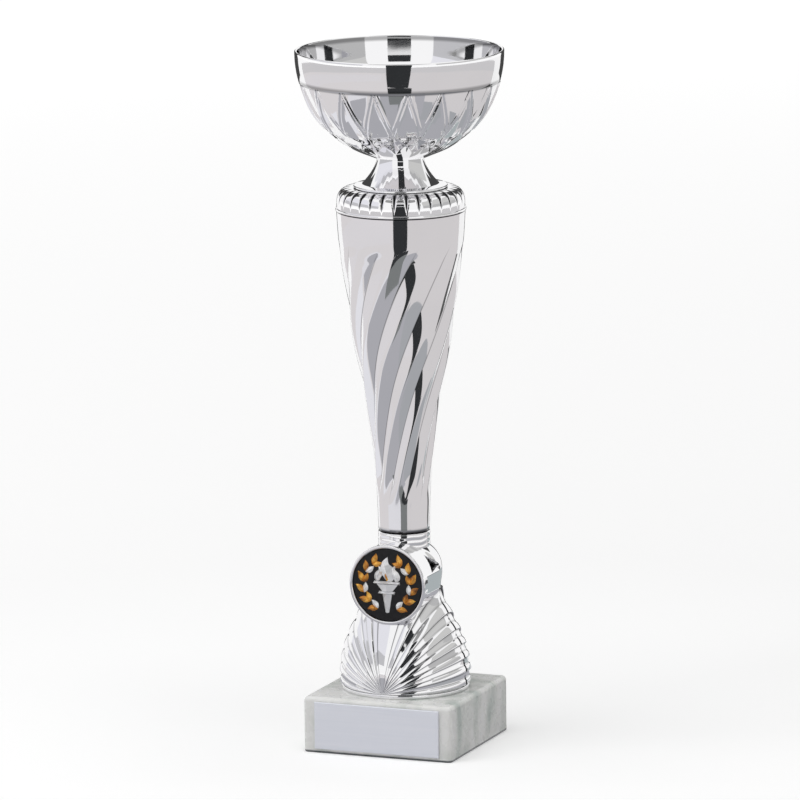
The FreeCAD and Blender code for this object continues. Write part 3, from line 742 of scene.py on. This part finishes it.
RING_RADIUS = 21.6
RING_HEIGHT = 1.4
RING_EDGE = 0.45
BELL_RADIUS = 21.2
BELL_SWELL = 1.8
BELL_SWELL_HEIGHT = 15.2
WAIST_RADIUS = 12.1
BELL_WAIST = 34.0
WAIST_FLARE = 0.9
WAIST_FLARE_HEIGHT = 7.8
HEAD_SWELL = 2.7
NECK_RADIUS = 8.7
NECK_HEIGHT = 5.2
NECK_RIPPLE = 0.05
NECK_RIPPLE_END = 0.8
FAN_START = 1.0
FAN_PITCH = 11.5
FAN_RIBS = 7
FAN_RISE = 0.8
FAN_FULL = 20.0
FAN_GAP = 0.55
FAN_SPOKE_POINTS = 72
RIB_STEPS = [0.0, 0.15, 0.35, 0.6, 1.0, 1.6, 2.4, 3.3, 4.2, 4.8, 5.2, 5.6, 6.0, 6.5, 7.3, 8.4,
             9.5, 10.4, 11.0, 11.3]
RIB_RISE = [0.0, 0.45, 0.75, 0.92, 1.0, 0.98, 0.92, 0.84, 0.74, 0.64, 0.52, 0.36, 0.22, 0.14,
            0.09, 0.06, 0.03, 0.01, 0.0, 0.0]
# Painted shade in the grooves at each rib's lower edge, in its step and at its upper end.
RIB_SHADE = [1.0, 1.0, 0.7, 0.2, 0.0, 0.0, 0.0, 0.0, 0.0, 0.0, 0.0, 0.1, 0.45, 0.2, 0.0, 0.0,
            0.0, 0.2, 0.8, 1.0]


def bell_radius(height):
    """The bell's radius at heights over the riser's foot, on its cubic outline curve."""
    curve = bezier([(BELL_RADIUS, RING_HEIGHT),
                    (BELL_RADIUS + BELL_SWELL, RING_HEIGHT + BELL_SWELL_HEIGHT),
                    (WAIST_RADIUS + WAIST_FLARE, BELL_WAIST - WAIST_FLARE_HEIGHT),
                    (WAIST_RADIUS, BELL_WAIST)], 800)
    return np.interp(height, curve[:, 1], curve[:, 0])


def fan_columns():
    """Angle of each of the fan's columns in degrees, its share of the rib's rise and its painted
    shade.

    A rib climbs steeply from its lower edge, slopes back over half its pitch to a softer
    upper edge, and leaves a flat strip to the next rib. The grooves at the edges get painted shade.
    Above the last rib the crown is plain.
    """
    ribs = (FAN_START + FAN_PITCH * np.arange(FAN_RIBS)[:, None] + np.array(RIB_STEPS)).ravel()
    crown = np.linspace(FAN_START + FAN_PITCH * FAN_RIBS, 90, 8)
    plain = np.zeros(len(crown))
    return (np.concatenate([[0.0], ribs, crown]),
            np.concatenate([[0.0], np.tile(RIB_RISE, FAN_RIBS), plain]),
            np.concatenate([[0.0], np.tile(RIB_SHADE, FAN_RIBS), plain]))


def spoke_lengths(slope):
    """Length of the spokes at the fan angles slope, to the side line or the waist, by halving."""
    low = np.zeros_like(slope)
    to_waist = (BELL_WAIST - RING_HEIGHT) / np.maximum(np.sin(slope), 1e-9)
    high = np.minimum(2 * RING_RADIUS, to_waist)
    for _ in range(50):
        middle = (low + high) / 2
        radius = bell_radius(RING_HEIGHT + middle * np.sin(slope))
        inside = middle * np.cos(slope) < np.sqrt(radius**2 - FAN_GAP**2)
        low = np.where(inside, middle, low)
        high = np.where(inside, high, middle)
    return low


def fan_quadrant():
    """A quarter of the bell, as spokes from the middle of the ring's front, and its painted shade.

    A spoke is the line where the bell meets the plane through the focus that stands at the
    fan angle: the sideways distance and the height grow with the cosine and sine of that
    angle. The ribs lift the surface away from the Z axis, more and more along the spoke.
    """
    angle, rise, painted_dark = fan_columns()
    slope = np.radians(angle)
    length = spoke_lengths(slope)[:, None] * np.linspace(0, 1, FAN_SPOKE_POINTS)
    across = length * np.cos(slope)[:, None]
    height = RING_HEIGHT + length * np.sin(slope)[:, None]
    radius = bell_radius(height)
    depth = np.sqrt(np.maximum(radius**2 - across**2, 0))
    grown = 1 + FAN_RISE * rise[:, None] * np.clip(length / FAN_FULL, 0, 1)**0.85 / radius
    points = np.stack([across * grown, -depth * grown, BASE_TOP + height], axis=-1)
    end = np.stack([across[:, -1], -depth[:, -1], BASE_TOP + height[:, -1]], axis=-1)
    sides = np.concatenate([points, points[:, -1:], end[:, None]], axis=1)
    sides[:, -2:, 1] = -FAN_GAP
    # Painted shade along the ribs' grooves, and full in the gap at the side line.
    painted_shade = np.repeat(painted_dark[:, None], sides.shape[1], axis=1)
    painted_shade[:, -2:] = 1.0
    return sides, painted_shade


def fan_parts():
    """The four quarters of the bell and the plain strips on its two side lines."""
    quarter, painted_shade = fan_quadrant()
    rows, columns = quarter.shape[:2]
    parts = []
    for side in (1, -1):
        for face in (1, -1):
            points = quarter * [side, face, 1]
            parts.append((points, grid_faces(rows, columns, flip=side * face > 0), painted_shade))
        strip = np.stack([quarter[:, -1] * [side, 1, 1], quarter[:, -1] * [side, -1, 1]], axis=1)
        parts.append((strip, grid_faces(rows, 2, flip=side < 0)))
    return parts


def ring_outline():
    """The foot ring, as a closed outline with rounded edges."""
    return rounded([(0, BASE_TOP), (RING_RADIUS, BASE_TOP), (RING_RADIUS, BASE_TOP + RING_HEIGHT),
                    (0, BASE_TOP + RING_HEIGHT)], RING_EDGE)


def head_outline():
    """The head and neck above the waist, as a closed outline that starts inside the bell."""
    top = RISER_TOP - BASE_TOP
    neck = top - NECK_HEIGHT
    tall = neck - BELL_WAIST
    collar = [(0, BELL_WAIST - 4), (WAIST_RADIUS - 1.5, BELL_WAIST - 4),
              (WAIST_RADIUS, BELL_WAIST - 0.4)]
    head = bezier([(WAIST_RADIUS, BELL_WAIST), (WAIST_RADIUS, BELL_WAIST + tall / 4),
                   (WAIST_RADIUS + HEAD_SWELL, neck - tall / 3), (NECK_RADIUS, neck)], 40)
    side = [(NECK_RADIUS, height) for height in np.linspace(neck + 0.2, top - 0.6, 25)]
    edge = rounded([(NECK_RADIUS, top - 0.4), (NECK_RADIUS, top), (0, top)], 0.3)
    return np.concatenate([collar, head, side, edge]) + [0, BASE_TOP]


# ---------------------------------------------------------------------------------------
# riser: the drum that holds the centre, with its pockets
# ---------------------------------------------------------------------------------------

HOLDER_RADIUS = 13.65
HOLDER_BODY = 13.1
HOLDER_TOP_GAP = 2.25
HOLDER_Z = RISER_TOP - HOLDER_TOP_GAP - HOLDER_RADIUS
HOLDER_FRONT = -16.2
HOLDER_BACK = -0.3
CENTRE_RADIUS = 12.5
CENTRE_RECESS = 2.4
RIM_EDGE = [(0.0, 0.25), (0.2, 0.03), (0.35, 0.0), (0.85, 0.0), (1.05, 0.1), (1.15, 0.35),
            (1.15, 1.1), (1.05, 1.35)]  # (over the centre's radius, behind the front)
RIM_DEPTH = 1.4
FLAT_TURN = -0.6
FLAT_SPREAD = 13.3
FLAT_FRONT = -11.6
FLAT_STEP = 0.25
POCKET_CORNERS = [(-6.9, 3.4), (-6.2, 8.9), (-0.1, 4.8)]
POCKET_ROUND = 0.5
POCKET_DEPTH = 2.2
POCKET_TURN = 25
POCKET_SPREAD = 24


def pocket_depth(depth, height):
    """Depth of the side pocket at places (depth along Y, height over the drum's axis).

    The distance inside the three sides of a triangle, less the corner rounding, is spread
    into a steep wall and a flat floor.
    """
    corners = np.asarray(POCKET_CORNERS)
    inside = np.full(np.broadcast(depth, height).shape, np.inf)
    for start, end in zip(corners, np.roll(corners, -1, axis=0)):
        along = (end - start) / np.linalg.norm(end - start)
        inside = np.minimum(inside, (depth - start[0]) * along[1] - (height - start[1]) * along[0])
    outside = np.where(inside < POCKET_ROUND, POCKET_ROUND - inside, 0)
    return POCKET_DEPTH * np.clip((POCKET_ROUND - outside + 0.1) / 0.35, 0, 1)


def pocket_shade(pressed):
    """Painted shade of a surface that is pressed in by a pocket: full from about half a millimetre.
    """
    return np.clip(3 * pressed - 0.4, 0, 1)


def head_part():
    """The head and neck: the outline turned about Z, pressed in behind the holder's pockets.

    Two sines of the turn shift the soft sine ripples that climb the neck.
    """
    outline = head_outline()
    turn = np.linspace(0, 360, 320, endpoint=False)
    radius, height = outline[:, :1], outline[:, 1:]
    pressed = pocket_depth(-radius * np.cos(np.radians(turn)), height - HOLDER_Z)
    over = height - RISER_TOP + NECK_HEIGHT
    fade = (np.clip(over / NECK_RIPPLE_END, 0, 1)
            * np.clip((NECK_HEIGHT - over) / NECK_RIPPLE_END, 0, 1))
    shift = 1.1 * np.sin(np.radians(2 * turn + 40)) + 0.5 * np.sin(np.radians(7 * turn))
    ripple = NECK_RIPPLE * fade * np.sin(3.3 * over + shift)
    points = around(radius - 1.6 * pressed + ripple, turn, height)
    # Painted shade in the recesses behind the pockets.
    return points, grid_faces(len(outline), len(turn), wrap=True), pocket_shade(pressed)


def rim_part():
    """The holder's rim: the outline of radius and depth carried round the drum's axis."""
    edge = [(CENTRE_RADIUS + over, HOLDER_FRONT + behind) for over, behind in RIM_EDGE]
    recess = HOLDER_FRONT + CENTRE_RECESS
    rim = rounded([(0, recess), (CENTRE_RADIUS, recess), *edge,
                   (HOLDER_BODY - 1.2, HOLDER_FRONT + RIM_DEPTH)], 0.12, steps=3)
    turn = np.radians(np.linspace(0, 360, 192, endpoint=False))
    points = np.stack([rim[:, :1] * np.cos(turn), rim[:, 1:] + 0 * turn,
                       HOLDER_Z + rim[:, :1] * np.sin(turn)], axis=-1)
    return points, grid_faces(len(rim), len(turn), wrap=True, flip=True)


def drum_parts():
    """The two halves of the drum's body, with its axis along Y and closed at both ends.

    Each half has a flat on its side, where its radius follows a chord, and a pocket above it.
    """
    back_of_rim = HOLDER_FRONT + RIM_DEPTH
    body = np.concatenate([[back_of_rim, back_of_rim + 0.2, back_of_rim + 0.5, -13.0,
                            FLAT_FRONT - FLAT_STEP, FLAT_FRONT],
                           np.arange(-8.6, HOLDER_BACK, 0.16)])
    half = np.concatenate([np.linspace(-90, 5, 96), np.arange(5.7, 50, 0.7),
                           np.linspace(51, 90, 40)])
    off_flat = np.radians(np.minimum(np.abs(half - FLAT_TURN), FLAT_SPREAD))
    chord = math.cos(math.radians(FLAT_SPREAD)) / np.cos(off_flat)
    pressed = pocket_depth(body[:, None], HOLDER_BODY * np.sin(np.radians(half)))
    pressed = np.where(np.abs(half - POCKET_TURN) < POCKET_SPREAD, pressed, 0)
    near = np.clip((body - FLAT_FRONT) / FLAT_STEP + 1, 0, 1)[:, None]
    radius = HOLDER_BODY * (1 + (chord - 1) * near) - pressed
    closed = np.zeros((1, len(half)))
    # Painted shade in the side pockets.
    painted_shade = np.concatenate([closed, pocket_shade(pressed), closed])
    radius = np.concatenate([closed, radius, closed])
    depth = np.concatenate([body[:1], body, body[-1:]])[:, None]
    angle = np.radians(half)
    parts = []
    for side in (1, -1):
        points = np.stack([side * radius * np.cos(angle), depth + 0 * radius,
                           HOLDER_Z + radius * np.sin(angle)], axis=-1)
        parts.append((points, grid_faces(*radius.shape, flip=side > 0), painted_shade))
    return parts


# ---------------------------------------------------------------------------------------
# relief on the centre
# ---------------------------------------------------------------------------------------

DISC_FACE = -16.0
RELIEF_FOOT = DISC_FACE + 0.15
LAUREL_RADIUS = 8.9
LAUREL_START = -68
LAUREL_STEP = 24
LAUREL_LEAVES = 6
OUTER_LEAF = (62, 0.92)   # turn from the stem in degrees, and size
INNER_LEAF = (118, 0.86)
LEAF_LENGTH = 4.5
LEAF_WIDTH = 1.35
LEAF_HEIGHT = 0.8
LEAF_BEND = 0.08
TORCH_FOOT = 1.3
TORCH = [  # the points, widths and heights of the handle, collar, bowl and brim
    ([(0, -9.6), (0, -9.3), (0, -2.9), (0, -2.7)], [0, 0.8, 1.9, 0], [0, 0.7, 1.2, 0]),
    ([(-2.9, -2.6), (-2.8, -2.6), (2.8, -2.6), (2.9, -2.6)], [0, 0.55, 0.55, 0], [0, 1.2, 1.2, 0]),
    ([(0, -2.3), (0, -2.1), (0, 0.3), (0, 0.5)], [0, 2.2, 4.2, 0], [0, 0.9, 1.4, 0]),
    ([(-4.7, 0.8), (-4.6, 0.8), (4.6, 0.8), (4.7, 0.8)], [0, 0.55, 0.55, 0], [0, 1.3, 1.3, 0])]
FLAMES = [(0.0, 0.6, 8.4, 2.7), (-2.9, -0.5, 5.4, 1.4), (2.9, 0.6, 5.8, 1.4)]
HEART = (0.0, 0.3, 3.6, 1.0)


def ridge(line, widths, heights):
    """A low ridge on the disc along a line of (x, height) points.

    Each row has a left foot, a crest, a right foot and a point sunk into the disc; widths
    and heights run to nothing at a pointed end.
    """
    line = np.asarray(line, float)
    widths = np.asarray(widths, float)[:, None]
    ahead = np.gradient(line, axis=0)
    ahead = ahead / np.linalg.norm(ahead, axis=1)[:, None]
    sideways = np.stack([ahead[:, 1], -ahead[:, 0]], axis=-1)
    left = line - sideways * widths
    right = line + sideways * widths
    foot = np.full(len(line), RELIEF_FOOT)
    crest = DISC_FACE - np.asarray(heights, float)
    rows = np.stack([np.stack([place[:, 0], level, HOLDER_Z + place[:, 1]], axis=-1)
                     for place, level in ((left, foot), (line, crest), (right, foot),
                                          (line, foot + 0.1))], axis=1)
    return rows, grid_faces(len(line), 4, wrap=True)


def leaf(x, z, aim, size):
    """A pointed leaf from a stalk end at (x, z), aimed at an angle in degrees.

    It bends by a half sine, and its width swells by a power of a half sine.
    """
    share = np.linspace(0, 1, 15)
    length = LEAF_LENGTH * size
    bend = LEAF_BEND * length * np.sin(np.pi * share)
    aim = math.radians(aim)
    line = np.stack([x + length * share * math.cos(aim) - bend * math.sin(aim),
                     z + length * share * math.sin(aim) + bend * math.cos(aim)], axis=-1)
    swell = np.sin(np.pi * share**0.8)**0.9
    return ridge(line, LEAF_WIDTH * size * swell, LEAF_HEIGHT * swell)


def laurel(side):
    """The leaves of one branch of the wreath, silver and amber, on the right (1) or left (-1)."""
    silver, amber = [], []
    for step in range(LAUREL_LEAVES):
        turn = LAUREL_START + LAUREL_STEP * step
        x = LAUREL_RADIUS * math.cos(math.radians(turn))
        z = LAUREL_RADIUS * math.sin(math.radians(turn))
        leaves = [leaf(x, z, turn + aim, size) for aim, size in (OUTER_LEAF, INNER_LEAF)]
        if side < 0:
            leaves = [(points * [-1, 1, 1], faces[:, ::-1]) for points, faces in leaves]
        amber.append(leaves[0])
        (amber if step % 2 else silver).append(leaves[1])
    return silver, amber


def flame(start, sway, tall, wide, foot, high):
    """A flame that sways from its start by a sine, and swells by a power of a half sine."""
    share = np.linspace(0, 1, 25)
    swell = np.sin(np.pi * share**0.62)**0.85
    line = np.stack([start + sway * np.sin(2.2 * np.pi * share), foot + tall * share], axis=-1)
    return ridge(line, wide * swell, high * swell)


def torch_parts():
    """The silver torch in the middle with its three flames, and its amber heart."""
    silver = [ridge(*piece) for piece in TORCH]
    silver += [flame(*shape, TORCH_FOOT, 1.3) for shape in FLAMES]
    return silver, [flame(*HEART, TORCH_FOOT + 0.2, 1.75)]


# ---------------------------------------------------------------------------------------
# putting the pieces in place
# ---------------------------------------------------------------------------------------

def place(piece, *nodes):
    """Lets a piece ride on the trophy and stand for CAD nodes, which it hides."""
    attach(piece, "root")
    if nodes:
        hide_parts(*nodes)


def paint(node, material):
    """Gives a CAD node that stays its material."""
    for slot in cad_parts[node].material_slots:
        slot.material = material


riser_parts = [*fan_parts(), turned_part(ring_outline()), head_part(), rim_part(), *drum_parts()]
for name, parts, node in (("twisted_column", [column_part()], "column"),
                          ("gadrooned_cap", [cap_part()], "column_cap"),
                          ("trumpet_foot", [foot_part()], "cup_foot"),
                          ("cut_cup", [cup_part()], "bowl"),
                          ("fan_riser", riser_parts, "riser")):
    place(make_piece(name, parts, CHROME), node)

silver_relief, amber_relief = torch_parts()
for side in (1, -1):
    silver_leaves, amber_leaves = laurel(side)
    silver_relief += silver_leaves
    amber_relief += amber_leaves
place(make_piece("relief_silver", silver_relief, SILVER, sharp=15))
place(make_piece("relief_amber", amber_relief, AMBER, sharp=15))

for node, material in (("marble_base", MARBLE), ("engraving_plate", PLATE),
                       ("centre_disc", BLACK), ("plate_adhesive", FILM),
                       ("disc_adhesive", FILM), ("foot_insert", BRASS),
                       ("threaded_rod", ZINC), ("base_washer", ZINC), ("base_nut", ZINC),
                       ("bowl_washer", ZINC), ("bowl_screw", ZINC)):
    paint(node, material)


# ---------------------------------------------------------------------------------------
# stage: floor, light, reflecting cards and camera, in metres
# ---------------------------------------------------------------------------------------

FLOOR_REACH = 9.0
FLOOR_GLOW = ((0.3, 0.26), (2.2, 0.76))   # (distance, strength) near the trophy and far off
WORLD_LIGHT = 0.34
LIGHT_SIZE = 1.2
LIGHT_AIM = Vector((0, 0, 0.1))
CAMERA_ANGLE = math.radians(CAMERA_TURN)
TO_CAMERA = Vector((math.sin(CAMERA_ANGLE), -math.cos(CAMERA_ANGLE), 0))
TO_RIGHT = Vector((math.cos(CAMERA_ANGLE), math.sin(CAMERA_ANGLE), 0))

LIGHTS = [  # (name, position, power in watts)
    ("key", (-0.9, -0.9, 1.4), 9.5),
    ("fill", (1.4, -0.9, 0.9), 0.4),
    ("top", (0.1, -0.15, 1.7), 13.0)]

# The cards' turns are in degrees from the camera, growing towards the picture's right.
DARK = (0.10, 0.10, 0.10)
NEAR_BLACK = (0.030, 0.032, 0.034)
EDGE_BLACK = (0.06, 0.06, 0.06)
LYING_CARDS = [  # (name, turns, reaches, height, tone)
    ("far_left", (-136, 0), (0.15, 0.90), 0.0010, (0.715, 0.69, 0.697)),
    ("far_right", (0, 130), (0.15, 0.90), 0.0010, (0.664, 0.642, 0.648)),
    ("outer_grey", (-136, 130), (0.90, 1.30), 0.0010, (0.62, 0.61, 0.62)),
    ("left_ring", (-136, -20), (0.54, 0.80), 0.0011, (0.722, 0.702, 0.720)),
    ("foot_ring", (-72, -14), (0.29, 0.325), 0.0011, (0.76, 0.755, 0.79)),
    ("near_grey", (-180, 180), (0.0, 0.155), 0.0012, (0.42, 0.42, 0.45)),
    ("front_grey", (-68, 32), (0.15, 0.29), 0.0012, (0.42, 0.42, 0.45)),
    ("right_near", (32, 122), (0.15, 0.255), 0.0012, (0.39, 0.40, 0.42)),
    ("front_dark", (-14, 14), (0.23, 0.32), 0.0014, (0.20, 0.21, 0.21)),
    ("front_low", (-14, 14), (0.32, 0.40), 0.0014, (0.032, 0.034, 0.036)),
    ("left_light", (-130, -72), (0.155, 0.30), 0.0013, (0.80, 0.80, 0.84)),
    ("side_dark", (126, 140), (0.33, 0.62), 0.0014, DARK),
    ("side_grey", (128, 161), (0.18, 0.33), 0.0014, (0.42, 0.46, 0.47)),
    ("back_low", (163, 197), (0.155, 0.62), 0.0013, DARK),
    ("above_black", (-12, 12), (0.10, 0.42), 0.79, (0.05, 0.05, 0.05))]
STANDING_CARDS = [  # (name, turn, reach, half widths at the foot and the top, heights, tone)
    ("front_black", 0, 0.40, (0.070, 0.100), (0.0, 0.284), NEAR_BLACK),
    ("front_gap", 0, 0.40, (0.100, 0.100), (0.284, 0.303), (0.80, 0.80, 0.80)),
    ("front_top", 0, 0.40, (0.100, 0.100), (0.303, 0.43), NEAR_BLACK),
    ("back_dark", 180, 0.60, (0.18, 0.18), (0.0, 0.22), DARK),
    ("left_edge", -142, 0.60, (0.15, 0.15), (0.42, 0.90), EDGE_BLACK),
    ("right_edge", 142, 0.60, (0.15, 0.15), (0.42, 0.90), EDGE_BLACK),
    ("left_stem", -150, 0.15, (0.035, 0.035), (0.195, 0.31), EDGE_BLACK),
    ("right_stem", 150, 0.15, (0.035, 0.035), (0.195, 0.31), EDGE_BLACK),
    ("left_wall", -80, 0.90, (0.75, 0.75), (0.42, 1.10), (0.83, 0.83, 0.88)),
    ("right_wall", 80, 0.90, (0.75, 0.75), (0.42, 1.10), (0.62, 0.62, 0.61)),
    ("left_low_wall", -80, 0.90, (0.75, 0.75), (0.20, 0.42), (0.56, 0.56, 0.58)),
    ("right_low_wall", 80, 0.90, (0.75, 0.75), (0.20, 0.42), (0.50, 0.50, 0.50))]
ROUND_CARD = ("front_above", 0.41, 0.34, 0.80, (0.33, 0.33, 0.33))


def shown_rays(tree):
    """1 for camera, glossy and transmitted rays, 0 for the rays that light things."""
    path = tree.nodes.new("ShaderNodeLightPath")
    shown = path.outputs["Is Camera Ray"]
    for kind in ("Is Glossy Ray", "Is Transmission Ray"):
        either = tree.nodes.new("ShaderNodeMath")
        either.operation = "MAXIMUM"
        tree.links.new(shown, either.inputs[0])
        tree.links.new(path.outputs[kind], either.inputs[1])
        shown = either.outputs[0]
    return shown


def pale_floor():
    """A pale matt floor that glows a little where it is seen, more far off, so it runs to white."""
    material, tree, surface, coordinates = shader("pale_floor")
    surface.inputs["Base Color"].default_value = (0.80, 0.80, 0.80, 1.0)
    surface.inputs["Roughness"].default_value = 0.9
    surface.inputs["Specular IOR Level"].default_value = 0.0
    surface.inputs["Emission Color"].default_value = (1.0, 1.0, 1.0, 1.0)
    distance = tree.nodes.new("ShaderNodeVectorMath")
    distance.operation = "LENGTH"
    tree.links.new(coordinates, distance.inputs[0])
    near, far = FLOOR_GLOW
    level = spread(tree, distance.outputs["Value"], near[1], far[1], near[0], far[0])
    glow = tree.nodes.new("ShaderNodeMath")
    glow.operation = "MULTIPLY"
    tree.links.new(shown_rays(tree), glow.inputs[0])
    tree.links.new(level, glow.inputs[1])
    tree.links.new(glow.outputs[0], surface.inputs["Emission Strength"])
    return material


def stage_floor():
    """A plain square floor that keeps a soft shadow."""
    mesh = bpy.data.meshes.new("floor")
    reach = FLOOR_REACH
    corners = [(-reach, -reach, 0), (reach, -reach, 0), (reach, reach, 0), (-reach, reach, 0)]
    mesh.from_pydata(corners, [], [(0, 1, 2, 3)])
    mesh.materials.append(pale_floor())
    floor = bpy.data.objects.new("floor", mesh)
    bpy.context.scene.collection.objects.link(floor)


def stage_world():
    """White all round for what is seen or reflected, and a plain level of light."""
    world = bpy.data.worlds.new("studio")
    bpy.context.scene.world = world
    world.use_nodes = True
    tree = world.node_tree
    background = tree.nodes["Background"]
    background.inputs["Color"].default_value = (1.0, 1.0, 1.0, 1.0)
    tree.links.new(spread(tree, shown_rays(tree), WORLD_LIGHT, 1.0), background.inputs["Strength"])


def soft_light(name, position, power):
    """A square area lamp that faces the trophy."""
    lamp = bpy.data.lights.new(name, "AREA")
    lamp.size = LIGHT_SIZE
    lamp.energy = power
    light = bpy.data.objects.new(name, lamp)
    light.location = position
    light.rotation_euler = (LIGHT_AIM - Vector(position)).to_track_quat("-Z", "Y").to_euler()
    light.visible_glossy = False
    bpy.context.scene.collection.objects.link(light)


def card(name, corners, tone):
    """A flat reflecting card: the metal mirrors its tone, and nothing else sees it."""
    mesh = bpy.data.meshes.new(name)
    mesh.from_pydata([tuple(corner) for corner in corners], [], [tuple(range(len(corners)))])
    material = bpy.data.materials.new(name)
    material.use_nodes = True
    tree = material.node_tree
    tree.nodes.remove(tree.nodes["Principled BSDF"])
    glow = tree.nodes.new("ShaderNodeEmission")
    glow.inputs["Color"].default_value = (*tone, 1.0)
    tree.links.new(glow.outputs[0], tree.nodes["Material Output"].inputs["Surface"])
    mesh.materials.append(material)
    sheet = bpy.data.objects.new(name, mesh)
    sheet.visible_camera = False
    sheet.visible_diffuse = False
    sheet.visible_shadow = False
    sheet.visible_transmission = False
    bpy.context.scene.collection.objects.link(sheet)


def beside(turn, reach, height=0.0):
    """A point seen from the trophy at a turn from the camera, towards the picture's right."""
    angle = math.radians(turn)
    level = (TO_CAMERA * math.cos(angle) + TO_RIGHT * math.sin(angle)) * reach
    return level + Vector((0, 0, height))


def standing_card(name, turn, reach, half_widths, heights, tone):
    """An upright card that faces the trophy.

    Its left edge is upright, and its right edge runs from the first half width at the foot
    to the second at the top.
    """
    across = beside(turn + 90, 1.0)
    foot, top = [beside(turn, reach, height) for height in heights]
    narrow, wide = half_widths
    card(name, [foot - across * wide, foot + across * narrow, top + across * wide,
                top - across * wide], tone)


def lying_card(name, turns, reaches, height, tone):
    """A level card: the part of a ring between two turns and two reaches."""
    steps = max(2, int(abs(turns[1] - turns[0]) / 5))
    turn = [turns[0] + (turns[1] - turns[0]) * step / steps for step in range(steps + 1)]
    outer = [beside(angle, reaches[1], height) for angle in turn]
    inner = [beside(angle, reaches[0], height) for angle in reversed(turn)]
    card(name, outer + inner, tone)


def round_card(name, reach, radius, height, tone):
    """A round level card in front of the trophy, overhead."""
    centre = beside(0, reach, height)
    card(name, [centre + beside(angle, radius) for angle in range(0, 360, 6)], tone)


def stage_camera():
    """The photograph's viewpoint: a long lens, turned, pitched and rolled as fitted."""
    pitch, roll = math.radians(CAMERA_PITCH), math.radians(CAMERA_ROLL)
    ahead = -TO_CAMERA * math.cos(pitch) - Vector((0, 0, math.sin(pitch)))
    up = TO_RIGHT.cross(ahead)
    rolled_right = TO_RIGHT * math.cos(roll) + up * math.sin(roll)
    rolled_up = up * math.cos(roll) - TO_RIGHT * math.sin(roll)
    turned = Matrix((rolled_right, rolled_up, -ahead)).transposed().to_4x4()
    data = bpy.data.cameras.new("camera")
    data.lens = CAMERA_LENS
    data.sensor_width = 36.0
    data.shift_x = CAMERA_SHIFT
    data.clip_end = 100.0
    camera = bpy.data.objects.new("camera", data)
    place_of_lens = TO_CAMERA * CAMERA_REACH + Vector((0, 0, CAMERA_HEIGHT))
    camera.matrix_world = Matrix.Translation(place_of_lens) @ turned
    bpy.context.scene.collection.objects.link(camera)
    bpy.context.scene.camera = camera


stage_floor()
stage_world()
for light in LIGHTS:
    soft_light(*light)
for lying in LYING_CARDS:
    lying_card(*lying)
for standing in STANDING_CARDS:
    standing_card(*standing)
round_card(*ROUND_CARD)
stage_camera()

bpy.context.scene.view_settings.view_transform = "Standard"
